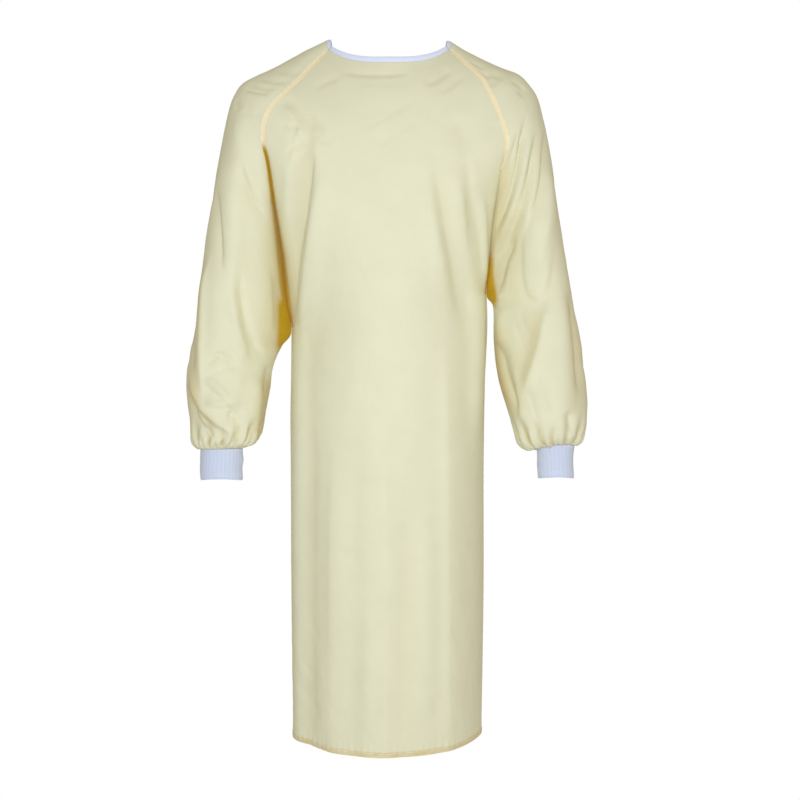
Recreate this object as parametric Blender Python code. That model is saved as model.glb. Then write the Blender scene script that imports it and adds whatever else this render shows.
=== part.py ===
"""Reusable protective gown with raglan sleeves, worn by nobody, as Blender objects in metres.

+X is the wearer's left, -Y is the front and +Z is up. The origin lies midway between the two points where the
shoulder line meets the neck, which is where the wearer's shoulders carry the gown. Every table is in millimetres.
A panel is a row of sections: each table row gives one section, and smooth curves run between the rows.
Walls are built as an outer and an inner skin and not with Solidify, because two panels that meet at an angle have
to share one direction of thickness at their seam, or their walls would cut into each other.
"""

import math

import bmesh
import bpy
import numpy as np

MM = 0.001

# Cloth and trim, in millimetres
CLOTH = 1.6
SEAM_GAP = 0.3
LONGEST_MITRE = 2.0
BINDING_HEIGHT = 9.0
BINDING_RISE_AT_SHOULDER = 2.5
BINDING_PROUD = 0.4
CUFF_WALL = 2.6
CUFF_PROUD = 0.6
STRIP_HALF_WIDTH = 4.5
STRIP_THICKNESS = 0.9
STRIP_CLEARANCE = 0.5
STRIP_ROWS = 9
STRIP_END_SHARE = 0.04

# Hem turn: its height, how far its double cloth stands proud, and how far it rises towards the side seams
HEM_TURN = 9.0
HEM_STEP = 1.5
HEM_PROUD = 0.8
HEM_RISE_AT_SIDES = 6.5
HEM_RISE_FADES_AT = -900.0

# Back opening: how many columns past the middle each back laps, and how far the top one stands off the other
LAP_COLUMNS = 4
BACK_STAND_OFF = 4.2

# How finely the panels are divided
COLUMNS_BODY = 22
COLUMNS_SLEEVE = 28
ROWS_SKIRT = 13
ROWS_ARMHOLE = 14
ROWS_FOREARM = 5
ROWS_GATHERS = 6
COLUMNS_CUFF = 28
FINE_STEPS = 240

# Body sections from hem to neck. right and left are the side edges below the underarm. front and back are the depths
# on the middle line. crown says how flat a section is in the middle and turn how round it is at its sides.
BODY_COLUMNS = ("height", "right", "left", "front", "back", "crown", "turn")
BODY_SECTIONS = (
    (-1170, -160, 155, -150, 128, 1.88, 1.72),
    (-1060, -162, 157, -149, 127, 2.00, 1.80),
    (-900, -164, 159, -147, 124, 2.05, 1.85),
    (-720, -165, 159, -143, 118, 2.10, 1.75),
    (-580, -166, 161, -139, 112, 2.15, 1.45),
    (-465, -166, 164, -135, 106, 2.20, 1.08),
    (-380, -160, 160, -131, 108, 2.50, 1.05),
    (-300, -160, 160, -126, 112, 2.80, 1.10),
    (-210, -160, 160, -117, 113, 2.80, 1.20),
    (-140, -160, 160, -103, 106, 2.50, 1.15),
    (-90, -160, 160, -87, 90, 2.20, 1.15),
    (-50, -104, 104, -70, 66, 2.00, 1.30),
)
BACK_NECK_HEIGHT = -27.0
FRONT_NECK_DROP = 3.0
LOWER_DROP = 2.0

# Sleeve sections from the neck down to the cuff, one table for each arm. outer is the point on the top and outside of
# the arm, seam the point where the panel meets the body and, below the underarm, the inside of the arm. Distances run
# outwards from the middle line. wrap is the angle from the outer point round to the seam, 180 where the sleeve is closed,
# and point says how far a section draws to a point at the seam, from 0 to 1.
SLEEVE_COLUMNS = ("outer", "outer_height", "seam", "seam_height", "wrap", "front", "back", "middle", "point")
SLEEVE_RIGHT = (
    (106, 0, 101, -20, 62, 29, 29, 0, 0),
    (141, -17, 126, -50, 60, 52, 52, 0, 0),
    (187, -43, 158, -88, 60, 75, 72, 0, 0),
    (223, -60, 186, -118, 64, 86, 83, 0, 0),
    (247, -74, 199, -139, 70, 87, 85, 0, 0),
    (262, -98, 204, -161, 79, 85, 84, 0, 0),
    (271, -128, 204, -184, 91, 83, 83, 0, 0),
    (281, -178, 196, -222, 109, 80, 82, 0, 0.2),
    (295, -255, 188, -290, 128, 79, 80, 0, 0.5),
    (307, -334, 180, -355, 140, 78, 78, 0, 0.8),
    (317, -425, 172, -435, 152, 77, 77, 0, 1.0),
    (327, -495, 166, -497, 180, 76, 76, 0, 1.0),
    (332, -517, 186, -517, 180, 77, 76, -1, 0.8),
    (338, -548, 195, -548, 180, 78, 76, -3, 0.4),
    (339, -582, 199, -582, 180, 76, 74, -8, 0.1),
    (335, -618, 205, -618, 180, 72, 71, -15, 0),
    (329, -648, 211, -646, 180, 66, 65, -22, 0),
    (325, -670, 220, -668, 180, 57, 57, -27, 0),
    (318, -680, 234, -679, 180, 42, 42, -30, 0),
    (312, -683, 243, -683, 180, 29, 29, -31, 0),
)
SLEEVE_LEFT = (
    (105, -2, 101, -20, 62, 29, 29, 0, 0),
    (136, -21, 122, -43, 60, 52, 52, 0, 0),
    (183, -44, 152, -75, 60, 75, 72, 0, 0),
    (218, -58, 170, -112, 64, 86, 83, 0, 0),
    (239, -80, 182, -142, 70, 87, 85, 0, 0),
    (250, -99, 190, -168, 79, 85, 84, 0, 0),
    (257, -125, 193, -188, 91, 83, 83, 0, 0),
    (265, -160, 184, -225, 109, 80, 82, 0, 0.2),
    (275, -218, 178, -270, 128, 79, 80, 0, 0.5),
    (286, -300, 172, -322, 140, 78, 78, 0, 0.8),
    (297, -370, 168, -380, 152, 77, 77, 0, 1.0),
    (306, -425, 164, -427, 180, 76, 76, 0, 1.0),
    (311, -447, 175, -447, 180, 77, 76, -1, 0.8),
    (321, -502, 176, -502, 180, 78, 76, -3, 0.4),
    (328, -560, 182, -560, 180, 76, 74, -8, 0.1),
    (331, -612, 196, -612, 180, 72, 71, -15, 0),
    (328, -645, 206, -645, 180, 66, 65, -22, 0),
    (322, -667, 218, -670, 180, 57, 57, -27, 0),
    (314, -679, 235, -680, 180, 42, 42, -30, 0),
    (308, -682, 246, -682, 180, 28, 28, -31, 0),
)
POINT_FULLNESS = 1.3
UNDERARM_ROW = 11
GATHERS_FROM_ROW = 15

# Cuff sections from the sleeve down to the wrist
CUFF_COLUMNS = ("height", "outer", "inner", "front", "back")
CUFF_RIGHT = ((-683, 312, 243, 29, 29), (-700, 313, 244, 29, 29), (-720, 313, 244, 28, 28), (-736, 312, 243, 27, 27))
CUFF_LEFT = ((-682, 308, 246, 28, 28), (-695, 306, 247, 27, 27), (-715, 306, 247, 26, 26), (-733, 307, 248, 26, 26))
CUFF_MIDDLE = -31.0
CUFF_BOTTOM_HOLLOW = 2.5

# Folds, as soft ridges (depth above 0) and troughs (below 0). Each runs from one point to the other as seen from the
# front, bows sideways by bow at its middle and fades over its ends.
FOLD_COLUMNS = ("from_out", "from_height", "to_out", "to_height", "bow", "width", "depth")
FRONT_FOLDS = (
    (-140, -235, -146, -370, 0, 17, -7.0),
    (-120, -215, -134, -500, 4, 17, 8.0),
    (-188, -190, -158, -245, 0, 15, 5.0),
    (78, -225, 104, -410, 0, 17, -9.0),
    (98, -270, 130, -450, 4, 18, 8.5),
    (124, -200, 148, -365, 0, 16, -5.0),
    (94, -520, 96, -1150, 0, 22, 7.0),
    (122, -560, 122, -1150, 0, 22, -5.0),
    (-14, -590, -12, -1165, 0, 24, 5.0),
    (28, -600, 26, -1165, 0, 24, -4.0),
    (-94, -640, -96, -1150, 0, 22, 4.5),
    (-62, -620, -58, -1165, 0, 24, -4.0),
    (58, -700, 60, -1150, 0, 22, 3.0),
    (-128, -700, -130, -1150, 0, 20, -3.5),
)
BACK_FOLDS = (
    (-128, -225, -142, -470, 4, 20, 8.0),
    (130, -225, 142, -430, -4, 20, 8.0),
    (-96, -260, -112, -430, 0, 18, -6.0),
    (100, -250, 114, -410, 0, 18, -6.0),
    (-92, -500, -98, -1150, 6, 24, 7.0),
    (104, -480, 106, -1150, -6, 24, 7.0),
    (-58, -560, -54, -1160, 0, 24, -5.0),
    (66, -560, 70, -1160, 0, 24, -5.0),
    (-20, -620, -16, -1160, 0, 26, 4.5),
    (26, -640, 30, -1160, 0, 24, 4.0),
)
SLEEVE_RIGHT_FRONT_FOLDS = (
    (284, -300, 304, -535, -6, 17, -8.0),
    (305, -534, 240, -560, -14, 15, -7.0),
    (300, -600, 240, -664, 4, 13, 8.0),
    (290, -582, 230, -642, 4, 13, -8.0),
    (202, -455, 203, -565, 0, 15, -10.0),
    (206, -270, 206, -420, 0, 15, 5.0),
    (234, -430, 226, -545, 0, 17, -5.0),
    (262, -330, 258, -520, 0, 22, 5.0),
    (318, -520, 320, -610, 0, 17, 6.0),
    (212, -600, 222, -662, 0, 15, 6.0),
)
SLEEVE_LEFT_FRONT_FOLDS = (
    (224, -210, 190, -315, -4, 15, 7.0),
    (216, -285, 182, -380, -6, 15, -8.0),
    (190, -335, 234, -446, -16, 15, -9.0),
    (254, -285, 240, -446, 16, 15, -9.0),
    (222, -320, 232, -410, 0, 17, 7.0),
    (262, -450, 224, -615, -8, 17, 8.0),
    (214, -500, 222, -600, 0, 15, -8.0),
    (266, -320, 294, -655, 8, 17, 6.0),
    (290, -420, 312, -650, 6, 16, -6.0),
    (246, -610, 258, -660, 0, 14, 6.0),
)
SLEEVE_BACK_FOLDS = (
    (262, -180, 205, -340, -8, 18, 7.0),
    (286, -260, 232, -420, -12, 18, -8.0),
    (296, -400, 240, -520, 10, 17, 7.0),
    (300, -470, 236, -570, 10, 16, -8.0),
    (308, -560, 240, -640, 8, 17, 7.0),
    (220, -450, 222, -600, 0, 17, -6.0),
)

# Gathers above each cuff
GATHER_COUNT = 14
GATHER_DEPTH = 4.2
GATHER_WANDER = 0.35

# Finishes: colour, roughness
CLOTH_COLOUR = (0.80, 0.79, 0.59, 1.0)
STRIP_COLOUR = (0.86, 0.80, 0.62, 1.0)
BINDING_COLOUR = (0.80, 0.80, 0.86, 1.0)
CUFF_COLOUR = (0.68, 0.76, 0.90, 1.0)
CLOTH_ROUGHNESS = 0.75
KNIT_ROUGHNESS = 0.9


def clear_scene():
    """Remove every object that the open file holds."""
    for old in list(bpy.data.objects):
        bpy.data.objects.remove(old, do_unlink=True)


def columns_of(names, rows):
    """A table's columns by name, as arrays."""
    return dict(zip(names, np.array(rows, dtype=float).T))


def smooth_through(keys, values, at):
    """Read a smooth curve through (keys, values) at other keys.

    Between two rows it is the cubic that takes the slope of its neighbours at each row.
    """
    keys = np.asarray(keys, dtype=float)
    values = np.asarray(values, dtype=float)
    if keys[0] > keys[-1]:
        keys, values = keys[::-1], values[::-1]
    slopes = np.gradient(values, keys)
    at = np.clip(at, keys[0], keys[-1])
    left = np.clip(np.searchsorted(keys, at, side="right") - 1, 0, len(keys) - 2)
    span = keys[left + 1] - keys[left]
    s = (at - keys[left]) / span
    start = (1 + 2 * s) * (1 - s) ** 2 * values[left] + s * (1 - s) ** 2 * span * slopes[left]
    end = s * s * (3 - 2 * s) * values[left + 1] + s * s * (s - 1) * span * slopes[left + 1]
    return start + end


def fade(value, low, high):
    """0 below low, 1 above high, and a smooth step between them."""
    s = np.clip((value - low) / (high - low), 0, 1)
    return s * s * (3 - 2 * s)


def unit(vectors):
    """The vectors at length 1."""
    lengths = np.linalg.norm(vectors, axis=-1, keepdims=True)
    return vectors / np.maximum(lengths, 1e-9)


def spread(points, shares_of_length, first_step):
    """Read a polyline at even steps of its length, apart from its first and last column, which are first_step wide."""
    lengths = np.concatenate([[0], np.cumsum(np.linalg.norm(np.diff(points, axis=0), axis=1))])
    whole = lengths[-1]
    inner = first_step + (whole - 2 * first_step) * shares_of_length
    at = np.concatenate([[0], inner, [whole]])
    return np.column_stack([np.interp(at, lengths, points[:, k]) for k in range(3)])


def even_shares(columns):
    """Shares of the length for a row of so many columns, without its first and last column."""
    return np.linspace(0, 1, columns - 1)


class Cloth:
    """A panel's outer skin: points, faces, and its edges as lists of points with the points just inside them."""

    def __init__(self, points, faces, edges):
        self.points = np.array(points, dtype=float)
        self.faces = faces
        self.edges = edges
        self.normals = point_normals(self.points, faces)
        self.mitre = np.ones(len(self.points))
        self.proud = np.zeros(len(self.points))


def point_normals(points, faces):
    """Normals at the points: the sum of the normals of the faces around each, weighted by their size."""
    normals = np.zeros_like(points)
    for face in faces:
        corners = points[list(face)]
        across = corners[2] - corners[0]
        along = corners[-1] - corners[1] if len(face) == 4 else corners[2] - corners[1]
        sign = 1.0 if len(face) == 4 else 0.5
        normals[list(face)] += sign * np.cross(across, along)
    return unit(normals)


def sew(cloth_a, edge_a, cloth_b, edge_b):
    """Let two panels share one direction of thickness along their seam, and draw them apart by the seam gap.

    The gap opens square to the plane that halves the angle between the panels. The wall is measured along the
    shared direction, so it is longer there by the mitre, 1 / cos of half the turn.
    """
    ids_a, inside_a = cloth_a.edges[edge_a]
    ids_b, inside_b = cloth_b.edges[edge_b]
    shared = unit(cloth_a.normals[ids_a] + cloth_b.normals[ids_b])
    cosine = np.abs(np.sum(shared * cloth_a.normals[ids_a], axis=1))
    mitre = np.minimum(1 / np.maximum(cosine, 0.2), LONGEST_MITRE)
    into_a = unit(cloth_a.points[inside_a] - cloth_a.points[ids_a])
    into_b = unit(cloth_b.points[inside_b] - cloth_b.points[ids_b])
    apart = unit(into_a - into_b) * SEAM_GAP / 2
    cloth_a.points[ids_a] += apart
    cloth_b.points[ids_b] -= apart
    for cloth, ids in ((cloth_a, ids_a), (cloth_b, ids_b)):
        cloth.normals[ids] = shared
        cloth.mitre[ids] = mitre


def folds_moved(points, normals, folds, facing):
    """Move points along their normals by the table's folds, on the side of the gown that facing names.

    A fold's height is depth * exp(-(distance / width)^2), distance measured in the front view from its bowed line,
    and it fades in and out over its first and last quarter.
    """
    table = columns_of(FOLD_COLUMNS, folds)
    seen = fade(facing * normals[:, 1], 0.05, 0.55)
    flat = points[:, [0, 2]]
    height = np.zeros(len(points))
    for k in range(len(folds)):
        start = np.array([table["from_out"][k], table["from_height"][k]])
        end = np.array([table["to_out"][k], table["to_height"][k]])
        line = end - start
        length = np.linalg.norm(line)
        square = np.array([-line[1], line[0]]) / length
        s = (flat - start) @ line / length**2
        across = (flat - start) @ square - table["bow"][k] * 4 * s * (1 - s)
        ends = fade(s, -0.12, 0.22) * (1 - fade(s, 0.78, 1.12))
        height += table["depth"][k] * np.exp(-((across / table["width"][k]) ** 2)) * ends
    return points + normals * (height * seen)[:, None]


def sleeve_outline(rows, at):
    """The sleeve table's columns read at fractional row numbers."""
    table = columns_of(SLEEVE_COLUMNS, rows)
    number = np.arange(len(rows))
    return {name: smooth_through(number, table[name], at) for name in SLEEVE_COLUMNS}


def sleeve_section(outline, row, turns):
    """One sleeve section: an arc from the front seam (turn 1) over the outer point (0) to the back seam (-1).

    The arc is centre + (outer - centre) * cos(a) + depth * sin(a) with a = wrap * turn, and the centre is set so that
    the arc ends on the seam point. A pointed section's depth is also multiplied by POINT_FULLNESS * cos(a / 2), which
    lets both its halves meet at the seam at an angle.
    """
    wrap = math.radians(min(outline["wrap"][row], 180.0))
    outer = np.array([outline["outer"][row], outline["outer_height"][row]])
    seam = np.array([outline["seam"][row], outline["seam_height"][row]])
    centre = (seam - outer * math.cos(wrap)) / (1 - math.cos(wrap))
    angle = wrap * turns
    depth = np.where(turns > 0, outline["front"][row], outline["back"][row])
    point = outline["point"][row]
    depth = depth * (1 - point + point * POINT_FULLNESS * np.cos(angle / 2))
    flat = centre + np.outer(np.cos(angle), outer - centre)
    return np.column_stack([flat[:, 0], outline["middle"][row] - depth * np.sin(angle), flat[:, 1]])


def seam_line(rows, face):
    """The raglan seam of one sleeve from the underarm up to the neck, face -1 for the front one and 1 for the back."""
    at = np.linspace(UNDERARM_ROW, 0, ROWS_ARMHOLE + 1)
    outline = sleeve_outline(rows, at)
    turn = np.array([-float(face)])
    return np.array([sleeve_section(outline, k, turn)[0] for k in range(len(at))])


def body_columns(heights):
    """The body table's columns read at heights."""
    table = columns_of(BODY_COLUMNS, BODY_SECTIONS)
    return {name: smooth_through(table["height"], table[name], heights) for name in BODY_COLUMNS}


def side_edge(rows, side):
    """One side seam from the hem up to that arm's underarm, with two rows close together at the hem's turn."""
    underarm = seam_line(rows, -1)[0]
    bottom = BODY_SECTIONS[0][0]
    steps = np.linspace(bottom + HEM_TURN + HEM_STEP, underarm[2], ROWS_SKIRT + 1)
    heights = np.concatenate([[bottom, bottom + HEM_TURN], steps])
    columns = body_columns(heights)
    across = columns["left"] if side > 0 else -columns["right"]
    across += (underarm[0] - across[-1]) * fade(heights, underarm[2] - 160, underarm[2])
    return np.column_stack([across, np.full(len(heights), underarm[1]), heights])


def panel_edges(rows, side, face):
    """A panel's whole side edge, side seam then raglan seam, on the wearer's right (-1) or left (1)."""
    edge = np.vstack([side_edge(rows, side)[:-1], seam_line(rows, face)])
    edge[:, 0] *= side
    return edge


def body_grid(face):
    """The front (face -1) or back (face 1) of the body as rows of points.

    Across each row x goes from -1 to 1, the depth is edge + (middle - edge) * (1 - |x|^crown)^(1 / turn), and the
    height sinks from the edges to the middle line by 1 - |x|^sink, with |x|^3 times the hem's rise added near the
    hem. The columns are then spread along the row.
    """
    x = np.sin(np.linspace(-math.pi / 2, math.pi / 2, FINE_STEPS + 1))
    right = panel_edges(SLEEVE_RIGHT, -1, face)
    left = panel_edges(SLEEVE_LEFT, 1, face)
    lower = ROWS_SKIRT + 2
    mean = (right[:, 2] + left[:, 2]) / 2
    neck = BODY_SECTIONS[-1][0] if face < 0 else BACK_NECK_HEIGHT
    middle = mean.copy()
    rise = (mean[lower:] - mean[lower]) / (mean[-1] - mean[lower])
    middle[lower:] = mean[lower] + (neck - mean[lower]) * rise
    table_height = mean.copy()
    table_height[lower:] = mean[lower] + (BODY_SECTIONS[-1][0] - mean[lower]) * rise
    columns = body_columns(table_height)
    depth = columns["front"] if face < 0 else columns["back"]
    sink = np.concatenate([np.full(lower, LOWER_DROP), np.linspace(LOWER_DROP, FRONT_NECK_DROP, len(mean) - lower)])
    lift = HEM_RISE_AT_SIDES * (1 - fade(mean, mean[0], HEM_RISE_FADES_AT))
    rows = []
    for k in range(len(mean)):
        bulge = (1 - np.abs(x) ** columns["crown"][k]) ** (1 / columns["turn"][k])
        share = (x + 1) / 2
        across = right[k, 0] * (1 - share) + left[k, 0] * share
        edge_depth = right[k, 1] * (1 - share) + left[k, 1] * share
        edge_height = right[k, 2] * (1 - share) + left[k, 2] * share
        level = 1 - np.abs(x) ** sink[k]
        height = edge_height + (middle[k] - mean[k]) * level + lift[k] * np.abs(x) ** 3
        fine = np.column_stack([across, edge_depth + (depth[k] - edge_depth) * bulge, height])
        rows.append(spread(fine, even_shares(COLUMNS_BODY), STRIP_HALF_WIDTH))
    return np.array(rows)


def grid_cloth(rows, outwards):
    """A panel from an array of rows by columns of points. outwards is -1 where its faces have to be turned round."""
    count, wide = rows.shape[:2]
    ids = np.arange(count * wide).reshape(count, wide)
    faces = []
    for i in range(count - 1):
        for j in range(wide - 1):
            face = (ids[i, j], ids[i, j + 1], ids[i + 1, j + 1], ids[i + 1, j])
            faces.append(face if outwards > 0 else turned_over(face))
    edges = {
        "first": (ids[:, 0], ids[:, 1]),
        "last": (ids[:, -1], ids[:, -2]),
        "bottom": (ids[0], ids[1]),
        "top": (ids[-1], ids[-2]),
    }
    return Cloth(rows.reshape(-1, 3), faces, edges)


def folded(cloth, folds, facing, wide):
    """Move a body panel by a table of folds, but for its side edges, and thicken its hem outwards as double cloth."""
    edges = np.concatenate([cloth.edges["first"][0], cloth.edges["last"][0]])
    kept = cloth.points[edges].copy()
    cloth.points = folds_moved(cloth.points, cloth.normals, folds, facing)
    cloth.points[edges] = kept
    cloth.normals = point_normals(cloth.points, cloth.faces)
    cloth.proud[: 2 * wide] = HEM_PROUD


def part_of(edge, start, stop):
    """A stretch of an edge, from its point numbered start up to the one before stop."""
    ids, inside = edge
    return ids[start:stop], inside[start:stop]


def split_edges(cloth):
    """Name the lower and the upper stretch of each side edge: the side seam and the raglan seam."""
    underarm = ROWS_SKIRT + 2
    for side in ("first", "last"):
        cloth.edges[side + "_side"] = part_of(cloth.edges[side], 0, underarm + 1)
        cloth.edges[side + "_raglan"] = part_of(cloth.edges[side], underarm, None)


def make_front():
    """The front panel, from the wearer's right edge to the left one."""
    rows = body_grid(-1)
    cloth = grid_cloth(rows, 1)
    folded(cloth, FRONT_FOLDS, -1, rows.shape[1])
    split_edges(cloth)
    return cloth


def make_backs():
    """The two back panels, cut from one whole back so that they agree where the right one lies over the left one."""
    rows = body_grid(1)
    count, wide = rows.shape[:2]
    whole = grid_cloth(rows, -1)
    folded(whole, BACK_FOLDS, 1, wide)
    points = whole.points.reshape(count, wide, 3)
    normals = whole.normals.reshape(count, wide, 3)
    kept = wide // 2 + LAP_COLUMNS + 1
    over = fade(np.arange(kept), kept - 2 * LAP_COLUMNS - 4, kept - 2 * LAP_COLUMNS - 1)
    lifted = points[:, :kept] + normals[:, :kept] * (over * BACK_STAND_OFF)[None, :, None]
    backs = {-1: grid_cloth(lifted, -1), 1: grid_cloth(points[:, ::-1][:, :kept], 1)}
    for cloth in backs.values():
        cloth.proud[: 2 * kept] = HEM_PROUD
        split_edges(cloth)
    return backs


def gather_height(outline, row, turns):
    """Waves round the sleeve that deepen towards the cuff, uneven in spacing and height."""
    top = outline["outer_height"][0]
    low = outline["outer_height"][-1]
    share = (outline["outer_height"][row] - top) / (low - top)
    deepening = fade(share, 0.05, 0.75) * (1 - fade(share, 0.85, 1.0))
    wander = GATHER_WANDER * np.sin(3 * math.pi * turns + 0.8)
    wave = np.cos(math.pi * GATHER_COUNT * turns + wander)
    unevenness = 0.75 + 0.25 * np.sin(2.3 * math.pi * turns + 1.7)
    return GATHER_DEPTH * deepening * wave * unevenness


def make_sleeve(rows, side, front_folds):
    """A raglan sleeve: open arcs over the shoulder, closed rounds below the underarm, gathers above the cuff.

    Its last rows have twice the columns, so that the gathers have four points a wave.
    """
    open_at = np.linspace(0, UNDERARM_ROW, ROWS_ARMHOLE + 1)
    forearm_at = np.linspace(UNDERARM_ROW, GATHERS_FROM_ROW, ROWS_FOREARM + 1)[1:]
    gather_at = np.linspace(GATHERS_FROM_ROW, len(rows) - 1, ROWS_GATHERS + 1)[1:]
    coarse = sleeve_outline(rows, np.concatenate([open_at, forearm_at]))
    fine = sleeve_outline(rows, gather_at)
    steps = np.linspace(1, -1, FINE_STEPS + 1)
    fine_turns = np.linspace(1, -1, 2 * COLUMNS_SLEEVE + 1)
    sections = []
    for k in range(len(coarse["outer"])):
        section = sleeve_section(coarse, k, steps)
        sections.append(spread(section, even_shares(COLUMNS_SLEEVE), STRIP_HALF_WIDTH))
    sections += [sleeve_section(fine, k, fine_turns) for k in range(len(fine["outer"]))]
    points, ids = [], []
    for k, section in enumerate(sections):
        closed = k >= ROWS_ARMHOLE
        kept = section[:-1] if closed else section
        first = len(points)
        row_ids = list(range(first, first + len(kept)))
        points.extend(kept)
        ids.append(np.array(row_ids + [first] if closed else row_ids))
    faces = []
    for upper, lower in zip(ids[:-1], ids[1:]):
        if len(upper) == len(lower):
            faces += [(upper[j], lower[j], lower[j + 1], upper[j + 1]) for j in range(len(upper) - 1)]
            continue
        for j in range(len(upper) - 1):
            a, b, c, d, e = upper[j], upper[j + 1], lower[2 * j], lower[2 * j + 1], lower[2 * j + 2]
            faces += [(a, c, d), (a, d, b), (b, d, e)]
    points = np.array(points) * [side, 1, 1]
    if side < 0:
        faces = [turned_over(face) for face in faces]
    cloth = Cloth(points, faces, {})
    for folds, facing in ((front_folds, -1), (SLEEVE_BACK_FOLDS, 1)):
        mirrored = [(row[0] * side, row[1], row[2] * side, row[3], row[4] * side, row[5], row[6]) for row in folds]
        cloth.points = folds_moved(cloth.points, cloth.normals, mirrored, facing)
    cloth.normals = point_normals(cloth.points, faces)
    for k in range(len(fine["outer"])):
        row_ids = ids[len(coarse["outer"]) + k][:-1]
        cloth.points[row_ids] += cloth.normals[row_ids] * gather_height(fine, k, fine_turns[:-1])[:, None]
    for k in range(ROWS_ARMHOLE + 1):
        section = sections[k] * [side, 1, 1]
        cloth.points[ids[k][0]] = section[0]
        cloth.points[ids[k][-1]] = section[-1]
    cloth.normals = point_normals(cloth.points, faces)
    end = ids[-1][:-1]
    middle = cloth.points[end].mean(axis=0)
    cloth.normals[end] = unit((cloth.points[end] - middle) * [1, 1, 0])
    up = range(ROWS_ARMHOLE, -1, -1)
    cloth.edges["front"] = (np.array([ids[k][0] for k in up]), np.array([ids[k][1] for k in up]))
    cloth.edges["back"] = (np.array([ids[k][-1] for k in up]), np.array([ids[k][-2] for k in up]))
    cloth.edges["top"] = (ids[0], ids[1])
    return cloth


def turned_over(face):
    """The face seen from its other side. It starts at the same corner, so that a quad is cut on the same diagonal."""
    return face[:1] + face[:0:-1]


def face_outwards(cloth, outwards):
    """Turn the panel's faces and normals over if they point away from outwards, one vector for each point."""
    if np.sum(cloth.normals * outwards) < 0:
        cloth.faces = [turned_over(face) for face in cloth.faces]
        cloth.normals = -cloth.normals


def wall_object(name, outer, inner, faces, material, collection):
    """A closed wall from an outer and an inner skin with the same faces, stitched along their open edges."""
    count = len(outer)
    used = {}
    for face in faces:
        for a, b in zip(face, face[1:] + face[:1]):
            used[(a, b)] = used.get((a, b), 0) + 1
    rims = [(a, b) for (a, b) in used if (b, a) not in used]
    solid = [tuple(int(v) for v in face) for face in faces]
    solid += [tuple(int(v) + count for v in turned_over(face)) for face in faces]
    solid += [(int(b), int(a), int(a) + count, int(b) + count) for a, b in rims]
    mesh = bpy.data.meshes.new(name)
    mesh.from_pydata([tuple(p) for p in np.vstack([outer, inner]) * MM], [], solid)
    bm = bmesh.new()
    bm.from_mesh(mesh)
    bmesh.ops.triangulate(bm, faces=bm.faces[:], quad_method="FIXED")
    bm.to_mesh(mesh)
    bm.free()
    mesh.materials.append(material)
    mesh.shade_smooth()
    mesh.set_sharp_from_angle(angle=math.radians(50))
    made = bpy.data.objects.new(name, mesh)
    collection.objects.link(made)
    return made


def cloth_object(name, cloth, thickness, material, collection, proud=0.0):
    """A panel as a wall: its outer skin moved out by proud, its inner skin moved in by the thickness."""
    outwards = cloth.normals * cloth.mitre[:, None]
    faces = [tuple(int(v) for v in face) for face in cloth.faces]
    outer = cloth.points + outwards * (proud + cloth.proud)[:, None]
    inner = cloth.points - outwards * thickness
    return wall_object(name, outer, inner, faces, material, collection)


def make_cuff(rows, side):
    """A cuff's outer skin: flat rounds from the sleeve's end down to the wrist, the last one hollowed at its middle."""
    table = columns_of(CUFF_COLUMNS, rows)
    angles = np.linspace(0, 2 * math.pi, COLUMNS_CUFF + 1)
    sections = []
    for k in range(len(rows)):
        centre = (table["outer"][k] + table["inner"][k]) / 2
        half = (table["outer"][k] - table["inner"][k]) / 2
        depth = np.where(np.sin(angles) < 0, table["front"][k], table["back"][k])
        across = centre + half * np.cos(angles)
        height = np.full(len(angles), table["height"][k])
        if k == len(rows) - 1:
            height += CUFF_BOTTOM_HOLLOW * np.sin(angles) ** 2
        if k == 0:
            height -= SEAM_GAP
        sections.append(np.column_stack([across * side, CUFF_MIDDLE + depth * np.sin(angles), height]))
    rows_up = np.array(sections)[::-1, :-1]
    wide = rows_up.shape[1]
    ids = np.arange(rows_up.shape[0] * wide).reshape(-1, wide)
    faces = []
    for i in range(len(ids) - 1):
        for j in range(wide):
            n = (j + 1) % wide
            face = (ids[i, j], ids[i, n], ids[i + 1, n], ids[i + 1, j])
            faces.append(face if side > 0 else turned_over(face))
    return Cloth(rows_up.reshape(-1, 3), faces, {})


def make_binding(panels):
    """The binding stands on the neck edge of the panels, given in order as (cloth, whether its edge runs backwards).

    It starts at the left back's free edge, runs round the front and ends at the right back's free edge. Its top edge
    lies BINDING_HEIGHT above the neck edge, less over the shoulders, where it lies along the slope.
    """
    stretches = []
    for cloth, backwards in panels:
        ids = cloth.edges["top"][0]
        stretches.append(ids[::-1] if backwards else ids)
    lower = [panels[0][0].points[stretches[0]]]
    lower += [cloth.points[ids[1:]] for (cloth, backwards), ids in zip(panels[1:], stretches[1:])]
    lower = np.vstack(lower)
    along = unit(np.gradient(lower, axis=0))
    inwards = unit(lower * [-1, -1, 0])
    steepness = fade(np.abs(lower[:, 1]), 4, 34)
    up = BINDING_RISE_AT_SHOULDER + (BINDING_HEIGHT - BINDING_RISE_AT_SHOULDER) * steepness
    lean = np.sqrt(np.maximum(BINDING_HEIGHT**2 - up**2, 0))
    rise = np.outer(up, [0, 0, 1]) + inwards * lean[:, None]
    rows = np.array([lower, lower + rise])
    binding = grid_cloth(rows, 1)
    face_outwards(binding, np.vstack([lower, lower]) * [1, 1, 0] + [0, 0, BINDING_HEIGHT])
    ids = np.arange(2 * len(lower)).reshape(2, -1)
    first = 0
    for (cloth, backwards), stretch in zip(panels, stretches):
        columns = slice(first, first + len(stretch))
        inside = cloth.edges["top"][1]
        cloth.edges["neck"] = (stretch, inside[::-1] if backwards else inside)
        binding.edges["under"] = (ids[0, columns], ids[1, columns])
        sew(cloth, "neck", binding, "under")
        first += len(stretch) - 1
    return binding


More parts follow.
